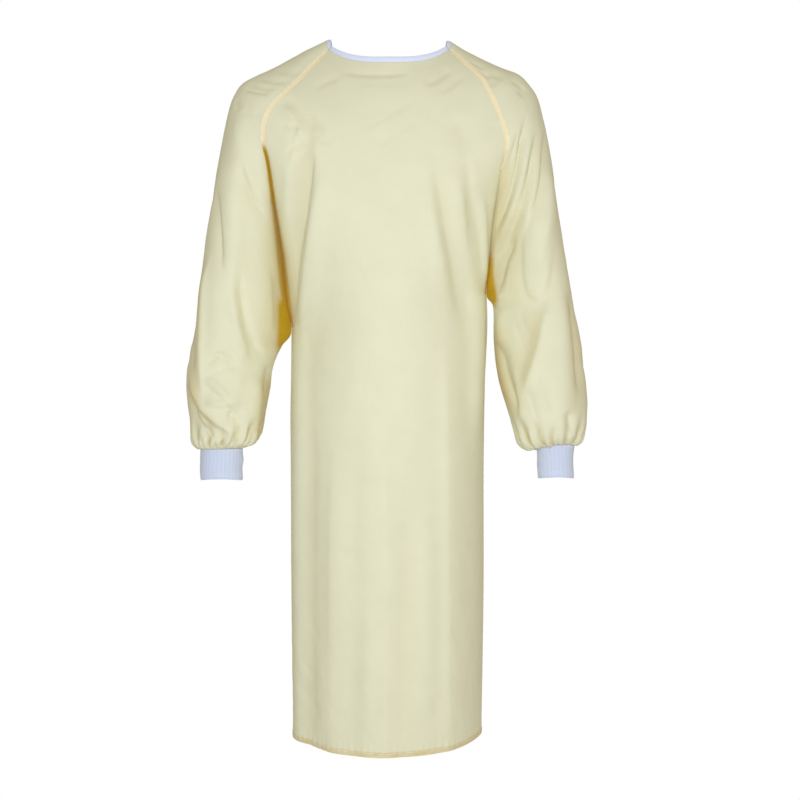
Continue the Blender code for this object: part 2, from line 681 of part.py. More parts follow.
def make_strip(panel, panel_edge, sleeve, sleeve_edge):
    """The felled strip over a raglan seam, from the neck down to where the seam runs into the armpit fold.

    Its three columns are the panel's and the sleeve's own columns beside the seam and the seam between them.
    """
    ids, inside = panel.edges[panel_edge]
    other, other_inside = sleeve.edges[sleeve_edge]
    top = len(ids) - 1
    kept = np.arange(top, top - STRIP_ROWS, -1)
    seam = (panel.points[ids[kept]] + sleeve.points[other[kept]]) / 2
    rows = np.stack([panel.points[inside[kept]], seam, sleeve.points[other_inside[kept]]], axis=1)
    seam_out = panel.normals[ids[kept]]
    out = np.stack([panel.normals[inside[kept]], seam_out, sleeve.normals[other_inside[kept]]], axis=1)
    rows[0] += (rows[1] - rows[0]) * STRIP_END_SHARE
    cloth = grid_cloth(rows, 1)
    face_outwards(cloth, out.reshape(-1, 3))
    cloth.normals = out.reshape(-1, 3)
    mitre = np.ones(rows.shape[:2])
    mitre[:, 1] = panel.mitre[ids[kept]]
    cloth.mitre = mitre.reshape(-1)
    return cloth


def make_material(name, colour, roughness):
    """A plain finish for one part."""
    material = bpy.data.materials.new(name)
    material.use_nodes = True
    shader = material.node_tree.nodes["Principled BSDF"]
    shader.inputs["Base Color"].default_value = colour
    shader.inputs["Roughness"].default_value = roughness
    shader.inputs["Metallic"].default_value = 0.0
    return material


def main():
    clear_scene()
    gown = bpy.data.collections.new("protective_gown")
    bpy.context.scene.collection.children.link(gown)

    front = make_front()
    backs = make_backs()
    sleeves = {
        -1: make_sleeve(SLEEVE_RIGHT, -1, SLEEVE_RIGHT_FRONT_FOLDS),
        1: make_sleeve(SLEEVE_LEFT, 1, SLEEVE_LEFT_FRONT_FOLDS),
    }
    for side, front_edge in ((-1, "first"), (1, "last")):
        sew(front, front_edge + "_side", backs[side], "first_side")
        at_underarm = [
            (front, front.edges[front_edge + "_raglan"][0][0]),
            (backs[side], backs[side].edges["first_raglan"][0][0]),
            (sleeves[side], sleeves[side].edges["front"][0][0]),
        ]
        kept = [(cloth.normals[corner].copy(), cloth.mitre[corner]) for cloth, corner in at_underarm]
        sew(front, front_edge + "_raglan", sleeves[side], "front")
        sew(backs[side], "first_raglan", sleeves[side], "back")
        for (cloth, corner), (normal, mitre) in zip(at_underarm, kept):
            cloth.normals[corner] = normal
            cloth.mitre[corner] = mitre

    strips = {}
    for side, front_edge in ((-1, "first"), (1, "last")):
        strips["front", side] = make_strip(front, front_edge + "_raglan", sleeves[side], "front")
        strips["back", side] = make_strip(backs[side], "first_raglan", sleeves[side], "back")
    binding = make_binding(
        [(backs[1], True), (sleeves[1], True), (front, True), (sleeves[-1], False), (backs[-1], False)]
    )

    words = {-1: "right", 1: "left"}
    panels = [("front", front)]
    panels += [("back_" + words[side], backs[side]) for side in (-1, 1)]
    panels += [("sleeve_" + words[side], sleeves[side]) for side in (-1, 1)]
    for name, cloth in panels:
        cloth_object(name, cloth, CLOTH, make_material(name, CLOTH_COLOUR, CLOTH_ROUGHNESS), gown)

    material = make_material("neck_binding", BINDING_COLOUR, KNIT_ROUGHNESS)
    cloth_object("neck_binding", binding, CLOTH + BINDING_PROUD, material, gown, BINDING_PROUD)

    for side, rows in ((-1, CUFF_RIGHT), (1, CUFF_LEFT)):
        name = "cuff_" + words[side]
        material = make_material(name, CUFF_COLOUR, KNIT_ROUGHNESS)
        cloth_object(name, make_cuff(rows, side), CUFF_WALL - CUFF_PROUD, material, gown, CUFF_PROUD)

    for (place, side), strip in strips.items():
        name = "seam_" + place + "_" + words[side]
        material = make_material(name, STRIP_COLOUR, CLOTH_ROUGHNESS)
        cloth_object(name, strip, -STRIP_CLEARANCE, material, gown, STRIP_CLEARANCE + STRIP_THICKNESS)


main()
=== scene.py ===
# %% [markdown]
# # A reusable protective gown
#
# The gown is a long straight body with raglan sleeves, sewn from a light plain weave of polyester and
# cotton. It is shown worn by nobody, so it keeps the hollow form that a wearer would give it. This file
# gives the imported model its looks: finer cloth with its creases, felled seams with their stitches, ribbed
# cuffs, a bound neck and the finishes.
#
# The file reads as a notebook. Each step first says what the piece is on the real gown, how it could be
# made and why this way was chosen. All lengths are in millimetres until they go into a mesh.

# %% Load the frame
import math

import bpy
import numpy as np
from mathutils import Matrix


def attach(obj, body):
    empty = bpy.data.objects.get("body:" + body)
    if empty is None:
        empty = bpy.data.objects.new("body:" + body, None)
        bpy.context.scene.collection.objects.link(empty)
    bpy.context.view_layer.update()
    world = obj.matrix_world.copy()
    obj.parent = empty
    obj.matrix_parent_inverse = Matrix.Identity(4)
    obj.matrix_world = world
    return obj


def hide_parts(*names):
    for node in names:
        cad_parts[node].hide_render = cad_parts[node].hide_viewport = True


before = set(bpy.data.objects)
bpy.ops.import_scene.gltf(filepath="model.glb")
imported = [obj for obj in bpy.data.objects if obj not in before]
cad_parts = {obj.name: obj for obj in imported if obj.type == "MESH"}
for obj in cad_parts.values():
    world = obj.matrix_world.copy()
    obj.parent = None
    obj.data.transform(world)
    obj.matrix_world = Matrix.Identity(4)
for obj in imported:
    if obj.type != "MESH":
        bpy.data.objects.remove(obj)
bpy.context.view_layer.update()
MM = 0.001
print("solids in the frame:", sorted(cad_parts))

# %% [markdown]
# ## The camera
#
# The photograph was taken level, from the height of the gown's middle, with a lens long enough to keep
# the sleeves and the hem almost undistorted. A distance of 2.6 m and a 70 mm lens give the same small
# foreshortening.

# %% Camera
CAMERA_PLACE = (0.0185, -2.6, -0.603)
LENS_MM = 69.6
SENSOR_MM = 36.0

camera_data = bpy.data.cameras.new("camera")
camera_data.lens = LENS_MM
camera_data.sensor_width = SENSOR_MM
camera = bpy.data.objects.new("camera", camera_data)
camera.location = CAMERA_PLACE
camera.rotation_euler = (math.pi / 2, 0.0, 0.0)
bpy.context.scene.collection.objects.link(camera)
bpy.context.scene.camera = camera
print(f"camera: {-CAMERA_PLACE[1]:.1f} m in front, lens {LENS_MM} mm")

# %% [markdown]
# ## Small tools for curves and cloth
#
# Every panel is a grid of points: rows run along the garment and columns across it. The tools below read
# smooth curves through short tables, space points along a row, and find the grid's normals.

# %% Curves through tables
def smooth_through(keys, values, at):
    """Smooth curve through (keys, values), read at the given places.

    Between two keys it is the cubic whose slope at each key is that between the key's neighbours.
    """
    keys = np.asarray(keys, dtype=float)
    values = np.asarray(values, dtype=float)
    if keys[0] > keys[-1]:
        keys, values = keys[::-1], values[::-1]
    slopes = np.gradient(values, keys)
    at = np.clip(at, keys[0], keys[-1])
    left = np.clip(np.searchsorted(keys, at, side="right") - 1, 0, len(keys) - 2)
    span = keys[left + 1] - keys[left]
    s = (at - keys[left]) / span
    start = (1 + 2 * s) * (1 - s) ** 2 * values[left] + s * (1 - s) ** 2 * span * slopes[left]
    end = s * s * (3 - 2 * s) * values[left + 1] + s * s * (s - 1) * span * slopes[left + 1]
    return start + end


def table_columns(names, rows):
    """A table's columns by name, as arrays."""
    return dict(zip(names, np.array(rows, dtype=float).T))


def smooth_step(s):
    """The step from 0 to 1 that starts and ends level: s * s * (3 - 2 s)."""
    return s * s * (3 - 2 * s)


def fade(value, low, high):
    """0 below low, 1 above high, and a smooth step between them."""
    return smooth_step(np.clip((value - low) / (high - low), 0, 1))


def unit(vectors):
    """The vectors divided by their lengths."""
    return vectors / np.maximum(np.linalg.norm(vectors, axis=-1, keepdims=True), 1e-9)


def lengths_along(points):
    """Distance walked along a polyline up to each of its points."""
    return np.concatenate([[0], np.cumsum(np.linalg.norm(np.diff(points, axis=0), axis=1))])


# %% Points along a row
FINE_STEPS = 400
SEAM_STEPS = (0.0, 1.5, 3.0, 4.5)


def spread(points, columns):
    """Read a polyline at so many columns: the first and last few at SEAM_STEPS from its ends, the rest even.

    Gives the points and the share of the polyline's own parameter, from 0 to 1, at each of them.
    """
    lengths = lengths_along(points)
    whole = lengths[-1]
    near = np.array(SEAM_STEPS)
    middle = np.linspace(near[-1], whole - near[-1], columns - 2 * (len(near) - 1))
    at = np.concatenate([near[:-1], middle, (whole - near[:-1])[::-1]])
    share = np.interp(at, lengths, np.linspace(0, 1, len(points)))
    return np.column_stack([np.interp(at, lengths, points[:, k]) for k in range(3)]), share


# %% Uneven waves
LATTICE = 64


def soft_noise(across, along, size, seed):
    """Uneven smooth waves from -1 to 1.

    Random heights stand at the crossings of a square lattice of that size, with smooth steps between them.
    """
    lattice = np.random.default_rng(seed).uniform(-1, 1, (LATTICE, LATTICE))
    u, v = across / size, along / size
    i, j = np.floor(u).astype(int), np.floor(v).astype(int)
    s, t = smooth_step(u - i), smooth_step(v - j)
    here_i, next_i = i % LATTICE, (i + 1) % LATTICE
    here_j, next_j = j % LATTICE, (j + 1) % LATTICE
    low = lattice[here_i, here_j] * (1 - s) + lattice[next_i, here_j] * s
    high = lattice[here_i, next_j] * (1 - s) + lattice[next_i, next_j] * s
    return low * (1 - t) + high * t


# %% [markdown]
# ## Panels and their walls
#
# Cloth could get its thickness from a Solidify modifier. Here two panels meet at an angle along each
# seam, and their inner skins would then cut into each other. So a panel keeps one direction of thickness
# for each point, and panels that are sewn together share it along the seam.

# %% Panel grids
CLOTH_THICKNESS = 0.8


class Panel:
    """A grid of points, rows along the garment and columns across it, with what its wall and finish need.

    closed marks the rows that run round a tube. The normals point outwards, and mitre lengthens them at a
    seam. proud and thickness say how far the outer and inner skins lie from the grid. double, from 0 to 1,
    tells the finish where cloth lies double. The painted shade value, from 0 to 1, tells it where brown is
    mixed into the colour to stand for shade in creases, under the arms, in the gathers and on the hem.
    """

    def __init__(self, name, points, towards, closed=None):
        self.name = name
        self.points = points
        self.closed = np.zeros(len(points), dtype=bool) if closed is None else closed
        self.flip = 1.0
        self.normals = self.find_normals()
        if np.sum(self.normals * towards) < 0:
            self.flip = -1.0
            self.normals = -self.normals
        self.mitre = np.ones(points.shape[:2])
        self.proud = np.zeros(points.shape[:2])
        self.thickness = np.full(points.shape[:2], CLOTH_THICKNESS)
        self.double = np.zeros(points.shape[:2])
        self.hollow_and_painted_shade = np.zeros(points.shape[:2])

    def find_normals(self):
        """Sum of the cross products of the diagonals of the quads round each point, at length 1."""
        self.points[self.closed, -1] = self.points[self.closed, 0]
        p = self.points
        face = np.cross(p[1:, 1:] - p[:-1, :-1], p[1:, :-1] - p[:-1, 1:])
        total = np.zeros_like(p)
        total[:-1, :-1] += face
        total[1:, :-1] += face
        total[:-1, 1:] += face
        total[1:, 1:] += face
        seam = total[self.closed, 0] + total[self.closed, -1]
        total[self.closed, 0] = seam
        total[self.closed, -1] = seam
        return unit(total) * self.flip

    def thread_places(self):
        """Where each point lies on the flat cloth: millimetres across its row and along its columns."""
        across = np.linalg.norm(np.diff(self.points, axis=1), axis=2)
        along = np.linalg.norm(np.diff(self.points, axis=0), axis=2)
        across = np.pad(np.cumsum(across, axis=1), ((0, 0), (1, 0)))
        along = np.pad(np.cumsum(np.median(along, axis=1)), (1, 0))
        across = across - across[:, across.shape[1] // 2, None]
        return across, np.broadcast_to(along[:, None], across.shape)


# %% Seams
SEAM_GAP = 0.2
LONGEST_MITRE = 2.0


def sew(panel_a, edge_a, inside_a, panel_b, edge_b, inside_b, gap=SEAM_GAP):
    """Share the thickness direction along a seam and draw the panels apart by the seam gap.

    The shared direction halves the angle between the normals, and the wall is longer there by 1 / cos of
    half the turn, as in a mitre. An edge is a pair of row and column numbers.
    """
    shared = unit(panel_a.normals[edge_a] + panel_b.normals[edge_b])
    cosine = np.abs(np.sum(shared * panel_a.normals[edge_a], axis=-1))
    mitre = 1 / np.maximum(cosine, 1 / LONGEST_MITRE)
    into_a = unit(panel_a.points[inside_a] - panel_a.points[edge_a])
    into_b = unit(panel_b.points[inside_b] - panel_b.points[edge_b])
    apart = unit(into_a - into_b) * gap / 2
    panel_a.points[edge_a] += apart
    panel_b.points[edge_b] -= apart
    for panel, edge in ((panel_a, edge_a), (panel_b, edge_b)):
        panel.normals[edge] = shared
        panel.mitre[edge] = mitre


# %% Mesh from arrays
SHARP_DEGREES = 60


def add_mesh(name, points, quads, corner_uv=None, layers=None):
    """A mesh object from points in millimetres, quads, a cloth place per corner and values per point."""
    mesh = bpy.data.meshes.new(name)
    mesh.vertices.add(len(points))
    mesh.vertices.foreach_set("co", (points * MM).astype(np.float32).ravel())
    mesh.loops.add(quads.size)
    mesh.loops.foreach_set("vertex_index", quads.astype(np.int32).ravel())
    mesh.polygons.add(len(quads))
    mesh.polygons.foreach_set("loop_start", np.arange(0, quads.size, 4, dtype=np.int32))
    mesh.update(calc_edges=True)
    if corner_uv is not None:
        layer = mesh.uv_layers.new(name="cloth")
        layer.data.foreach_set("uv", (corner_uv * MM).astype(np.float32).ravel())
    for key, values in (layers or {}).items():
        attribute = mesh.attributes.new(key, "FLOAT", "POINT")
        attribute.data.foreach_set("value", values.astype(np.float32).ravel())
    mesh.shade_smooth()
    mesh.set_sharp_from_angle(angle=math.radians(SHARP_DEGREES))
    piece = bpy.data.objects.new(name, mesh)
    bpy.context.scene.collection.objects.link(piece)
    return piece


def quads_of(ids):
    """The quads of a grid of point numbers."""
    return np.stack([ids[:-1, :-1], ids[:-1, 1:], ids[1:, 1:], ids[1:, :-1]], axis=-1).reshape(-1, 4)


# %% Walls from panels
def wall(panel):
    """A closed wall: outer skin, inner skin, and a rim of quads along each edge that only one quad uses."""
    rows, columns = panel.points.shape[:2]
    ids = np.arange(rows * columns).reshape(rows, columns)
    grid = quads_of(ids)
    across, along = panel.thread_places()
    places = np.stack([across, along], axis=-1).reshape(-1, 2)
    corner_places = places[grid]
    ids[panel.closed, -1] = ids[panel.closed, 0]
    quads = quads_of(ids)
    if panel.flip < 0:
        quads, corner_places = quads[:, ::-1], corner_places[:, ::-1]
    used, quads = np.unique(quads, return_inverse=True)
    quads = quads.reshape(-1, 4)
    count = len(used)
    out = (panel.normals * panel.mitre[..., None]).reshape(-1, 3)[used]
    middle = panel.points.reshape(-1, 3)[used]
    outer = middle + out * panel.proud.reshape(-1)[used, None]
    inner = middle - out * panel.thickness.reshape(-1)[used, None]
    ahead = quads.reshape(-1)
    behind = np.roll(quads, -1, axis=1).reshape(-1)
    alone = ~np.isin(ahead * count + behind, behind * count + ahead)
    a, b = ahead[alone], behind[alone]
    rim = np.stack([b, a, a + count, b + count], axis=-1)
    rim_places = places[used][np.stack([b, a, a, b], axis=-1)]
    every = np.concatenate([quads, quads[:, ::-1] + count, rim])
    every_place = np.concatenate([corner_places, corner_places[:, ::-1], rim_places]).reshape(-1, 2)
    layers = {key: np.tile(getattr(panel, key).reshape(-1)[used], 2) for key in ("double", "hollow_and_painted_shade")}
    piece = add_mesh(panel.name, np.concatenate([outer, inner]), every, every_place, layers)
    print(f"{panel.name}: {2 * len(every)} triangles")
    return piece


# %% [markdown]
# ## Creases
#
# A tailor reads a garment by where its cloth is pulled and where it is spare. Cloth is pulled from the
# neck over the shoulders, folds into the armpits, and hangs in long soft ridges below the chest. A
# simulation would place such folds by chance, so each crease is set one by one: a line on the gown seen
# from the front, the back or the side, a width and a depth that is positive for a ridge and negative for a
# trough. A pinch of 2 makes a round crease and a smaller pinch a sharper one. Light cloth breaks into
# planes, so most creases also lean: one flank is wide and the other steep.

# %% Nearest place on a line
def nearest_on(path, places):
    """Distance of each place to a polyline, its side (1 left, -1 right) and its share of the way along."""
    start, step = path[:-1], np.diff(path, axis=0)
    away = places[:, None] - start[None]
    s = np.clip(np.sum(away * step, axis=2) / np.sum(step * step, axis=1), 0, 1)
    gap = np.linalg.norm(away - s[..., None] * step, axis=2)
    nearest = np.argmin(gap, axis=1)
    which = np.arange(len(places))
    way, off = step[nearest], away[which, nearest]
    side = np.sign(way[:, 0] * off[:, 1] - way[:, 1] * off[:, 0])
    return gap[which, nearest], side, (nearest + s[which, nearest]) / len(start)


# %% Crease heights
CREASE_STEPS = 25
CREASE_REACH = 3
CREASE_END_SHARE = 0.28


def crease_heights(flat, creases):
    """Sum of the creases at flat (across, height) places.

    Each is depth * exp(-(distance / width) ^ pinch), faded in and out over CREASE_END_SHARE of its line.
    Its width is multiplied by 1 + lean on the left of the line's direction, and by 1 - lean on the right.
    Several widths are spread evenly along the line.
    """
    total = np.zeros(len(flat))
    for line, width, depth, pinch, lean in creases:
        corners = np.array(line, dtype=float)
        keys = lengths_along(corners)
        at = np.linspace(0, keys[-1], CREASE_STEPS)
        path = np.column_stack([smooth_through(keys, corners[:, k], at) for k in (0, 1)])
        widths = np.atleast_1d(np.array(width, dtype=float))
        reach = CREASE_REACH * widths.max() * (1 + abs(lean))
        near = np.all((flat > path.min(axis=0) - reach) & (flat < path.max(axis=0) + reach), axis=1)
        if not near.any():
            continue
        distance, side, share = nearest_on(path, flat[near])
        ends = fade(share, 0.0, CREASE_END_SHARE) * (1 - fade(share, 1 - CREASE_END_SHARE, 1.0))
        wide = np.interp(share, np.linspace(0, 1, len(widths)), widths) * (1 + lean * side)
        total[near] += depth * np.exp(-((distance / wide) ** pinch)) * ends
    return total


# %% Creased panels
SEEN_FROM, SEEN_WHOLE = 0.05, 0.55
PAINTED_SHADE_CREASE_DEPTH = 90.0
MOST_PAINTED_CREASE_SHADE = 0.2


def creased(panel, creases, across, towards, hold):
    """Move a panel along its normals by creases seen from one side, and paint shade into its troughs. hold,
    from 0 to 1, lets points stay.
    """
    flat = np.stack([panel.points @ np.array(across, dtype=float), panel.points[..., 2]], axis=-1)
    seen = fade(panel.normals @ np.array(towards, dtype=float), SEEN_FROM, SEEN_WHOLE)
    height = crease_heights(flat.reshape(-1, 2), creases).reshape(seen.shape) * seen * hold
    panel.points += panel.normals * height[..., None]
    # Painted shade: a trough gets brown mixed into its colour by its depth, up to a limit.
    shade = np.clip(-height / PAINTED_SHADE_CREASE_DEPTH, 0, MOST_PAINTED_CREASE_SHADE)
    panel.hollow_and_painted_shade = np.maximum(panel.hollow_and_painted_shade, shade)
    print(f"{panel.name}: {len(creases)} creases, from {height.min():.1f} to {height.max():.1f} mm")


def walked_across(panel):
    """Distance along each row from its first and from its last point."""
    across = np.linalg.norm(np.diff(panel.points, axis=1), axis=2)
    from_first = np.pad(np.cumsum(across, axis=1), ((0, 0), (1, 0)))
    return from_first, from_first[:, -1:] - from_first


def hold_edges(panel, sides=14.0, top=10.0):
    """0 at the side edges and top row, rising to 1 over the given distances. 0 leaves the top free."""
    from_first, from_last = walked_across(panel)
    hold = fade(from_first, 0, sides) * fade(from_last, 0, sides)
    if top:
        along = np.linalg.norm(np.diff(panel.points, axis=0), axis=2)
        below_top = np.pad(np.cumsum(along[::-1], axis=0)[::-1], ((0, 1), (0, 0)))
        hold *= fade(below_top, 0, top)
    return hold


# %% [markdown]
# ## The form of the gown
#
# These are the sizes that the solids were built from: sections of the body from the hem up to the neck,
# and sections of each sleeve from the neck down to the cuff. The finer cloth has to lie on the solids'
# form, so it is worked out from the same sections with closer rows.

# %% Sections of the body and the sleeves
HEM_TURN = 9.0
HEM_RISE_AT_SIDES = 10.5
HEM_RISE_FADES_AT = -900.0
BACK_NECK_HEIGHT = -27.0
FRONT_NECK_DROP = 3.0
LOWER_DROP = 2.0
UNDERARM_ROW = 11
GATHERS_FROM_ROW = 15
POINT_FULLNESS = 1.3

BODY_COLUMNS = ("height", "right", "left", "front", "back", "crown", "turn")
BODY_SECTIONS = (
    (-1170, -160, 155, -150, 128, 1.88, 1.72),
    (-1060, -162, 157, -149, 127, 2.00, 1.80),
    (-900, -164, 159, -147, 124, 2.05, 1.85),
    (-720, -165, 159, -143, 118, 2.10, 1.75),
    (-580, -166, 161, -139, 112, 2.15, 1.45),
    (-465, -166, 164, -135, 106, 2.20, 1.08),
    (-380, -160, 160, -131, 108, 2.50, 1.05),
    (-300, -160, 160, -126, 112, 2.80, 1.10),
    (-210, -160, 160, -117, 113, 2.80, 1.20),
    (-140, -160, 160, -103, 106, 2.50, 1.15),
    (-90, -160, 160, -87, 90, 2.20, 1.15),
    (-50, -104, 104, -70, 66, 2.00, 1.30),
)
SLEEVE_COLUMNS = ("outer", "outer_height", "seam", "seam_height", "wrap", "front", "back", "middle", "point")
SLEEVE_RIGHT = (
    (106, 0, 101, -20, 62, 29, 29, 0, 0),
    (141, -17, 126, -50, 60, 52, 52, 0, 0),
    (187, -43, 158, -88, 60, 75, 72, 0, 0),
    (223, -60, 186, -118, 64, 86, 83, 0, 0),
    (247, -74, 199, -139, 70, 87, 85, 0, 0),
    (262, -98, 204, -161, 79, 85, 84, 0, 0),
    (271, -128, 204, -184, 91, 83, 83, 0, 0),
    (281, -178, 196, -222, 109, 80, 82, 0, 0.2),
    (295, -255, 188, -290, 128, 79, 80, 0, 0.5),
    (307, -334, 180, -355, 140, 78, 78, 0, 0.8),
    (317, -425, 172, -435, 152, 77, 77, 0, 1.0),
    (327, -495, 164, -488, 180, 76, 76, 0, 1.0),
    (332, -517, 181, -514, 180, 77, 76, -1, 0.8),
    (338, -548, 195, -548, 180, 78, 76, -3, 0.4),
    (339, -582, 199, -582, 180, 76, 74, -8, 0.1),
    (335, -618, 205, -618, 180, 72, 71, -15, 0),
    (329, -648, 211, -646, 180, 66, 65, -22, 0),
    (325, -670, 220, -668, 180, 57, 57, -27, 0),
    (319, -684, 234, -680, 180, 42, 42, -30, 0),
    (312, -683, 243, -683, 180, 29, 29, -31, 0),
)
SLEEVE_LEFT = (
    (105, -2, 101, -20, 62, 29, 29, 0, 0),
    (136, -21, 122, -43, 60, 52, 52, 0, 0),
    (183, -44, 152, -75, 60, 75, 72, 0, 0),
    (218, -58, 170, -112, 64, 86, 83, 0, 0),
    (239, -80, 182, -142, 70, 87, 85, 0, 0),
    (250, -99, 190, -168, 79, 85, 84, 0, 0),
    (257, -125, 193, -188, 91, 83, 83, 0, 0),
    (265, -160, 184, -225, 109, 80, 82, 0, 0.2),
    (275, -218, 178, -270, 128, 79, 80, 0, 0.5),
    (286, -300, 172, -322, 140, 78, 78, 0, 0.8),
    (297, -370, 168, -380, 152, 77, 77, 0, 1.0),
    (306, -425, 164, -427, 180, 76, 76, 0, 1.0),
    (311, -447, 175, -447, 180, 77, 76, -1, 0.8),
    (321, -502, 176, -502, 180, 78, 76, -3, 0.4),
    (328, -560, 182, -560, 180, 76, 74, -8, 0.1),
    (331, -612, 196, -612, 180, 72, 71, -15, 0),
    (327, -643, 209, -650, 180, 66, 65, -22, 0),
    (320, -664, 218, -678, 180, 57, 57, -27, 0),
    (313, -676, 232, -688, 180, 42, 42, -30, 0),
    (308, -682, 246, -682, 180, 28, 28, -31, 0),
)

# %% How finely the panels are divided
ROWS_HEM = 9
ROWS_SKIRT = 140
ROWS_ARMHOLE = 108
ROWS_FOREARM = 44
ROWS_GATHERS = 52
COLUMNS_BODY = 150
COLUMNS_SLEEVE = 196


# %% Sleeve sections and the raglan seam
def sleeve_outline(rows, at):
    """The sleeve table's columns read at fractional row numbers."""
    table = table_columns(SLEEVE_COLUMNS, rows)
    number = np.arange(len(rows))
    return {name: smooth_through(number, table[name], at) for name in SLEEVE_COLUMNS}


def sleeve_arcs(outline, turns):
    """Sleeve sections as a grid: turn 1 is the front seam, 0 the outer point and -1 the back seam.

    A section is centre + (outer - centre) * cos(a) in the front view and half-depth * sin(a) deep, with
    a = wrap * turn. A section with a point has its depth multiplied by POINT_FULLNESS * cos(a / 2).
    """
    wrap = np.radians(np.minimum(outline["wrap"], 180.0))[:, None]
    outer = np.stack([outline["outer"], outline["outer_height"]], axis=1)[:, None]
    seam = np.stack([outline["seam"], outline["seam_height"]], axis=1)[:, None]
    centre = (seam - outer * np.cos(wrap)[..., None]) / (1 - np.cos(wrap))[..., None]
    angle = wrap * turns[None]
    depth = np.where(turns[None] > 0, outline["front"][:, None], outline["back"][:, None])
    point = outline["point"][:, None]
    depth = depth * (1 - point + point * POINT_FULLNESS * np.cos(angle / 2))
    flat = centre + np.cos(angle)[..., None] * (outer - centre)
    forward = outline["middle"][:, None] - depth * np.sin(angle)
    return np.stack([flat[..., 0], forward, flat[..., 1]], axis=-1)


def raglan_seam(rows, face):
    """One sleeve's raglan seam from the underarm up to the neck, on the front (face -1) or back (1)."""
    at = np.linspace(UNDERARM_ROW, 0, ROWS_ARMHOLE + 1)
    return sleeve_arcs(sleeve_outline(rows, at), np.array([-float(face)]))[:, 0]


# %% Body rows
def body_columns(heights):
    """The body table's columns read at heights."""
    table = table_columns(BODY_COLUMNS, BODY_SECTIONS)
    return {name: smooth_through(table["height"], table[name], heights) for name in BODY_COLUMNS}


def side_seam(rows, side):
    """One side seam from the hem up to that arm's underarm, with close rows on the turned hem."""
    underarm = raglan_seam(rows, -1)[0]
    bottom = BODY_SECTIONS[0][0]
    hem = np.linspace(bottom, bottom + HEM_TURN + 3, ROWS_HEM + 1)
    heights = np.concatenate([hem[:-1], np.linspace(hem[-1], underarm[2], ROWS_SKIRT + 1)])
    columns = body_columns(heights)
    across = columns["left"] if side > 0 else -columns["right"]
    across = across + (underarm[0] - across[-1]) * fade(heights, underarm[2] - 160, underarm[2])
    return np.column_stack([across, np.full(len(heights), underarm[1]), heights])


def whole_edge(rows, side, face):
    """A body panel's edge on one side: the side seam and then the raglan seam."""
    edge = np.vstack([side_seam(rows, side)[:-1], raglan_seam(rows, face)])
    return edge * [side, 1, 1]


UNDERARM = ROWS_HEM + ROWS_SKIRT


def body_grid(face):
    """The front (face -1) or the whole back (face 1) of the body.

    Across each row x runs from -1 to 1. The depth is
    edge + (middle - edge) * (1 - |x| ^ crown) ^ (1 / turn), and the height sinks towards the middle line by
    1 - |x| ^ sink.
    """
    x = np.sin(np.linspace(-math.pi / 2, math.pi / 2, FINE_STEPS + 1))[None]
    right = whole_edge(SLEEVE_RIGHT, -1, face)
    left = whole_edge(SLEEVE_LEFT, 1, face)
    mean = (right[:, 2] + left[:, 2]) / 2
    underarm, front_neck = mean[UNDERARM], BODY_SECTIONS[-1][0]
    neck = front_neck if face < 0 else BACK_NECK_HEIGHT
    rise = np.clip((mean - underarm) / (mean[-1] - underarm), 0, 1)
    above = np.arange(len(mean)) >= UNDERARM
    middle = np.where(above, underarm + (neck - underarm) * rise, mean)
    table_height = np.where(above, underarm + (front_neck - underarm) * rise, mean)
    columns = body_columns(table_height)
    depth = (columns["front"] if face < 0 else columns["back"])[:, None]
    rows_above = np.cumsum(above) / np.sum(above)
    sink = np.where(above, LOWER_DROP + (FRONT_NECK_DROP - LOWER_DROP) * rows_above, LOWER_DROP)
    lift = HEM_RISE_AT_SIDES * (1 - fade(mean, mean[0], HEM_RISE_FADES_AT))
    bulge = (1 - np.abs(x) ** columns["crown"][:, None]) ** (1 / columns["turn"][:, None])
    share = ((x + 1) / 2)[..., None]
    edge = right[:, None] * (1 - share) + left[:, None] * share
    level = 1 - np.abs(x) ** sink[:, None]
    height = edge[..., 2] + (middle - mean)[:, None] * level + lift[:, None] * np.abs(x) ** 3
    fine = np.stack([edge[..., 0], edge[..., 1] + (depth - edge[..., 1]) * bulge, height], axis=-1)
    return np.array([spread(row, COLUMNS_BODY)[0] for row in fine])


# %% [markdown]
# ## What every sewn edge does to cloth
#
# A row of stitches draws light cloth together. Beside a seam it lies in small uneven puckers, a hem of
# double cloth stands a little proud and ripples, and the cloth between seams is never quite flat.

# %% Puckers
PUCKER_PITCH = 11.0
PUCKER_REACH = 9.0
PUCKER_WANDER = 2.2


def puckers(distance, along, height, seed):
    """Waves beside a seam, which die out as exp(-(distance / reach) ^ 2).

    A wave is height * sin(2 pi along / pitch + wander), and wander makes its pitch uneven.
    """
    wander = PUCKER_WANDER * soft_noise(along, np.full_like(along, 7.0), 38.0, seed)
    uneven = 0.6 + 0.4 * soft_noise(along, np.full_like(along, 3.0), 52.0, seed + 1)
    wave = np.sin(2 * math.pi * along / PUCKER_PITCH + wander)
    return height * uneven * wave * np.exp(-((distance / PUCKER_REACH) ** 2))


# %% Unevenness of hanging cloth
BROAD_SWELL = 0.4
SLANTED_SWELL = 0.24
SMALL_SWELL = 0.12
CRUMPLE = 0.3
CRUMPLES_FROM, CRUMPLES_WHOLE = 850, 1100


def uneven_cloth(panel, hold, seed):
    """Broad, slanted and small swells all over, and a crumple low on the skirt."""
    across, along = panel.thread_places()
    height = BROAD_SWELL * soft_noise(across, along * 0.3, 40.0, seed)
    height += SLANTED_SWELL * soft_noise(across + 0.5 * along, along * 0.6, 17.0, seed + 1)
    height += SMALL_SWELL * soft_noise(across, along, 7.0, seed + 2)
    low = fade(-panel.points[..., 2], CRUMPLES_FROM, CRUMPLES_WHOLE)
    height += CRUMPLE * low * soft_noise(across + 0.7 * along, 0.5 * along - 0.3 * across, 8.0, seed + 3)
    panel.points += panel.normals * (height * hold)[..., None]
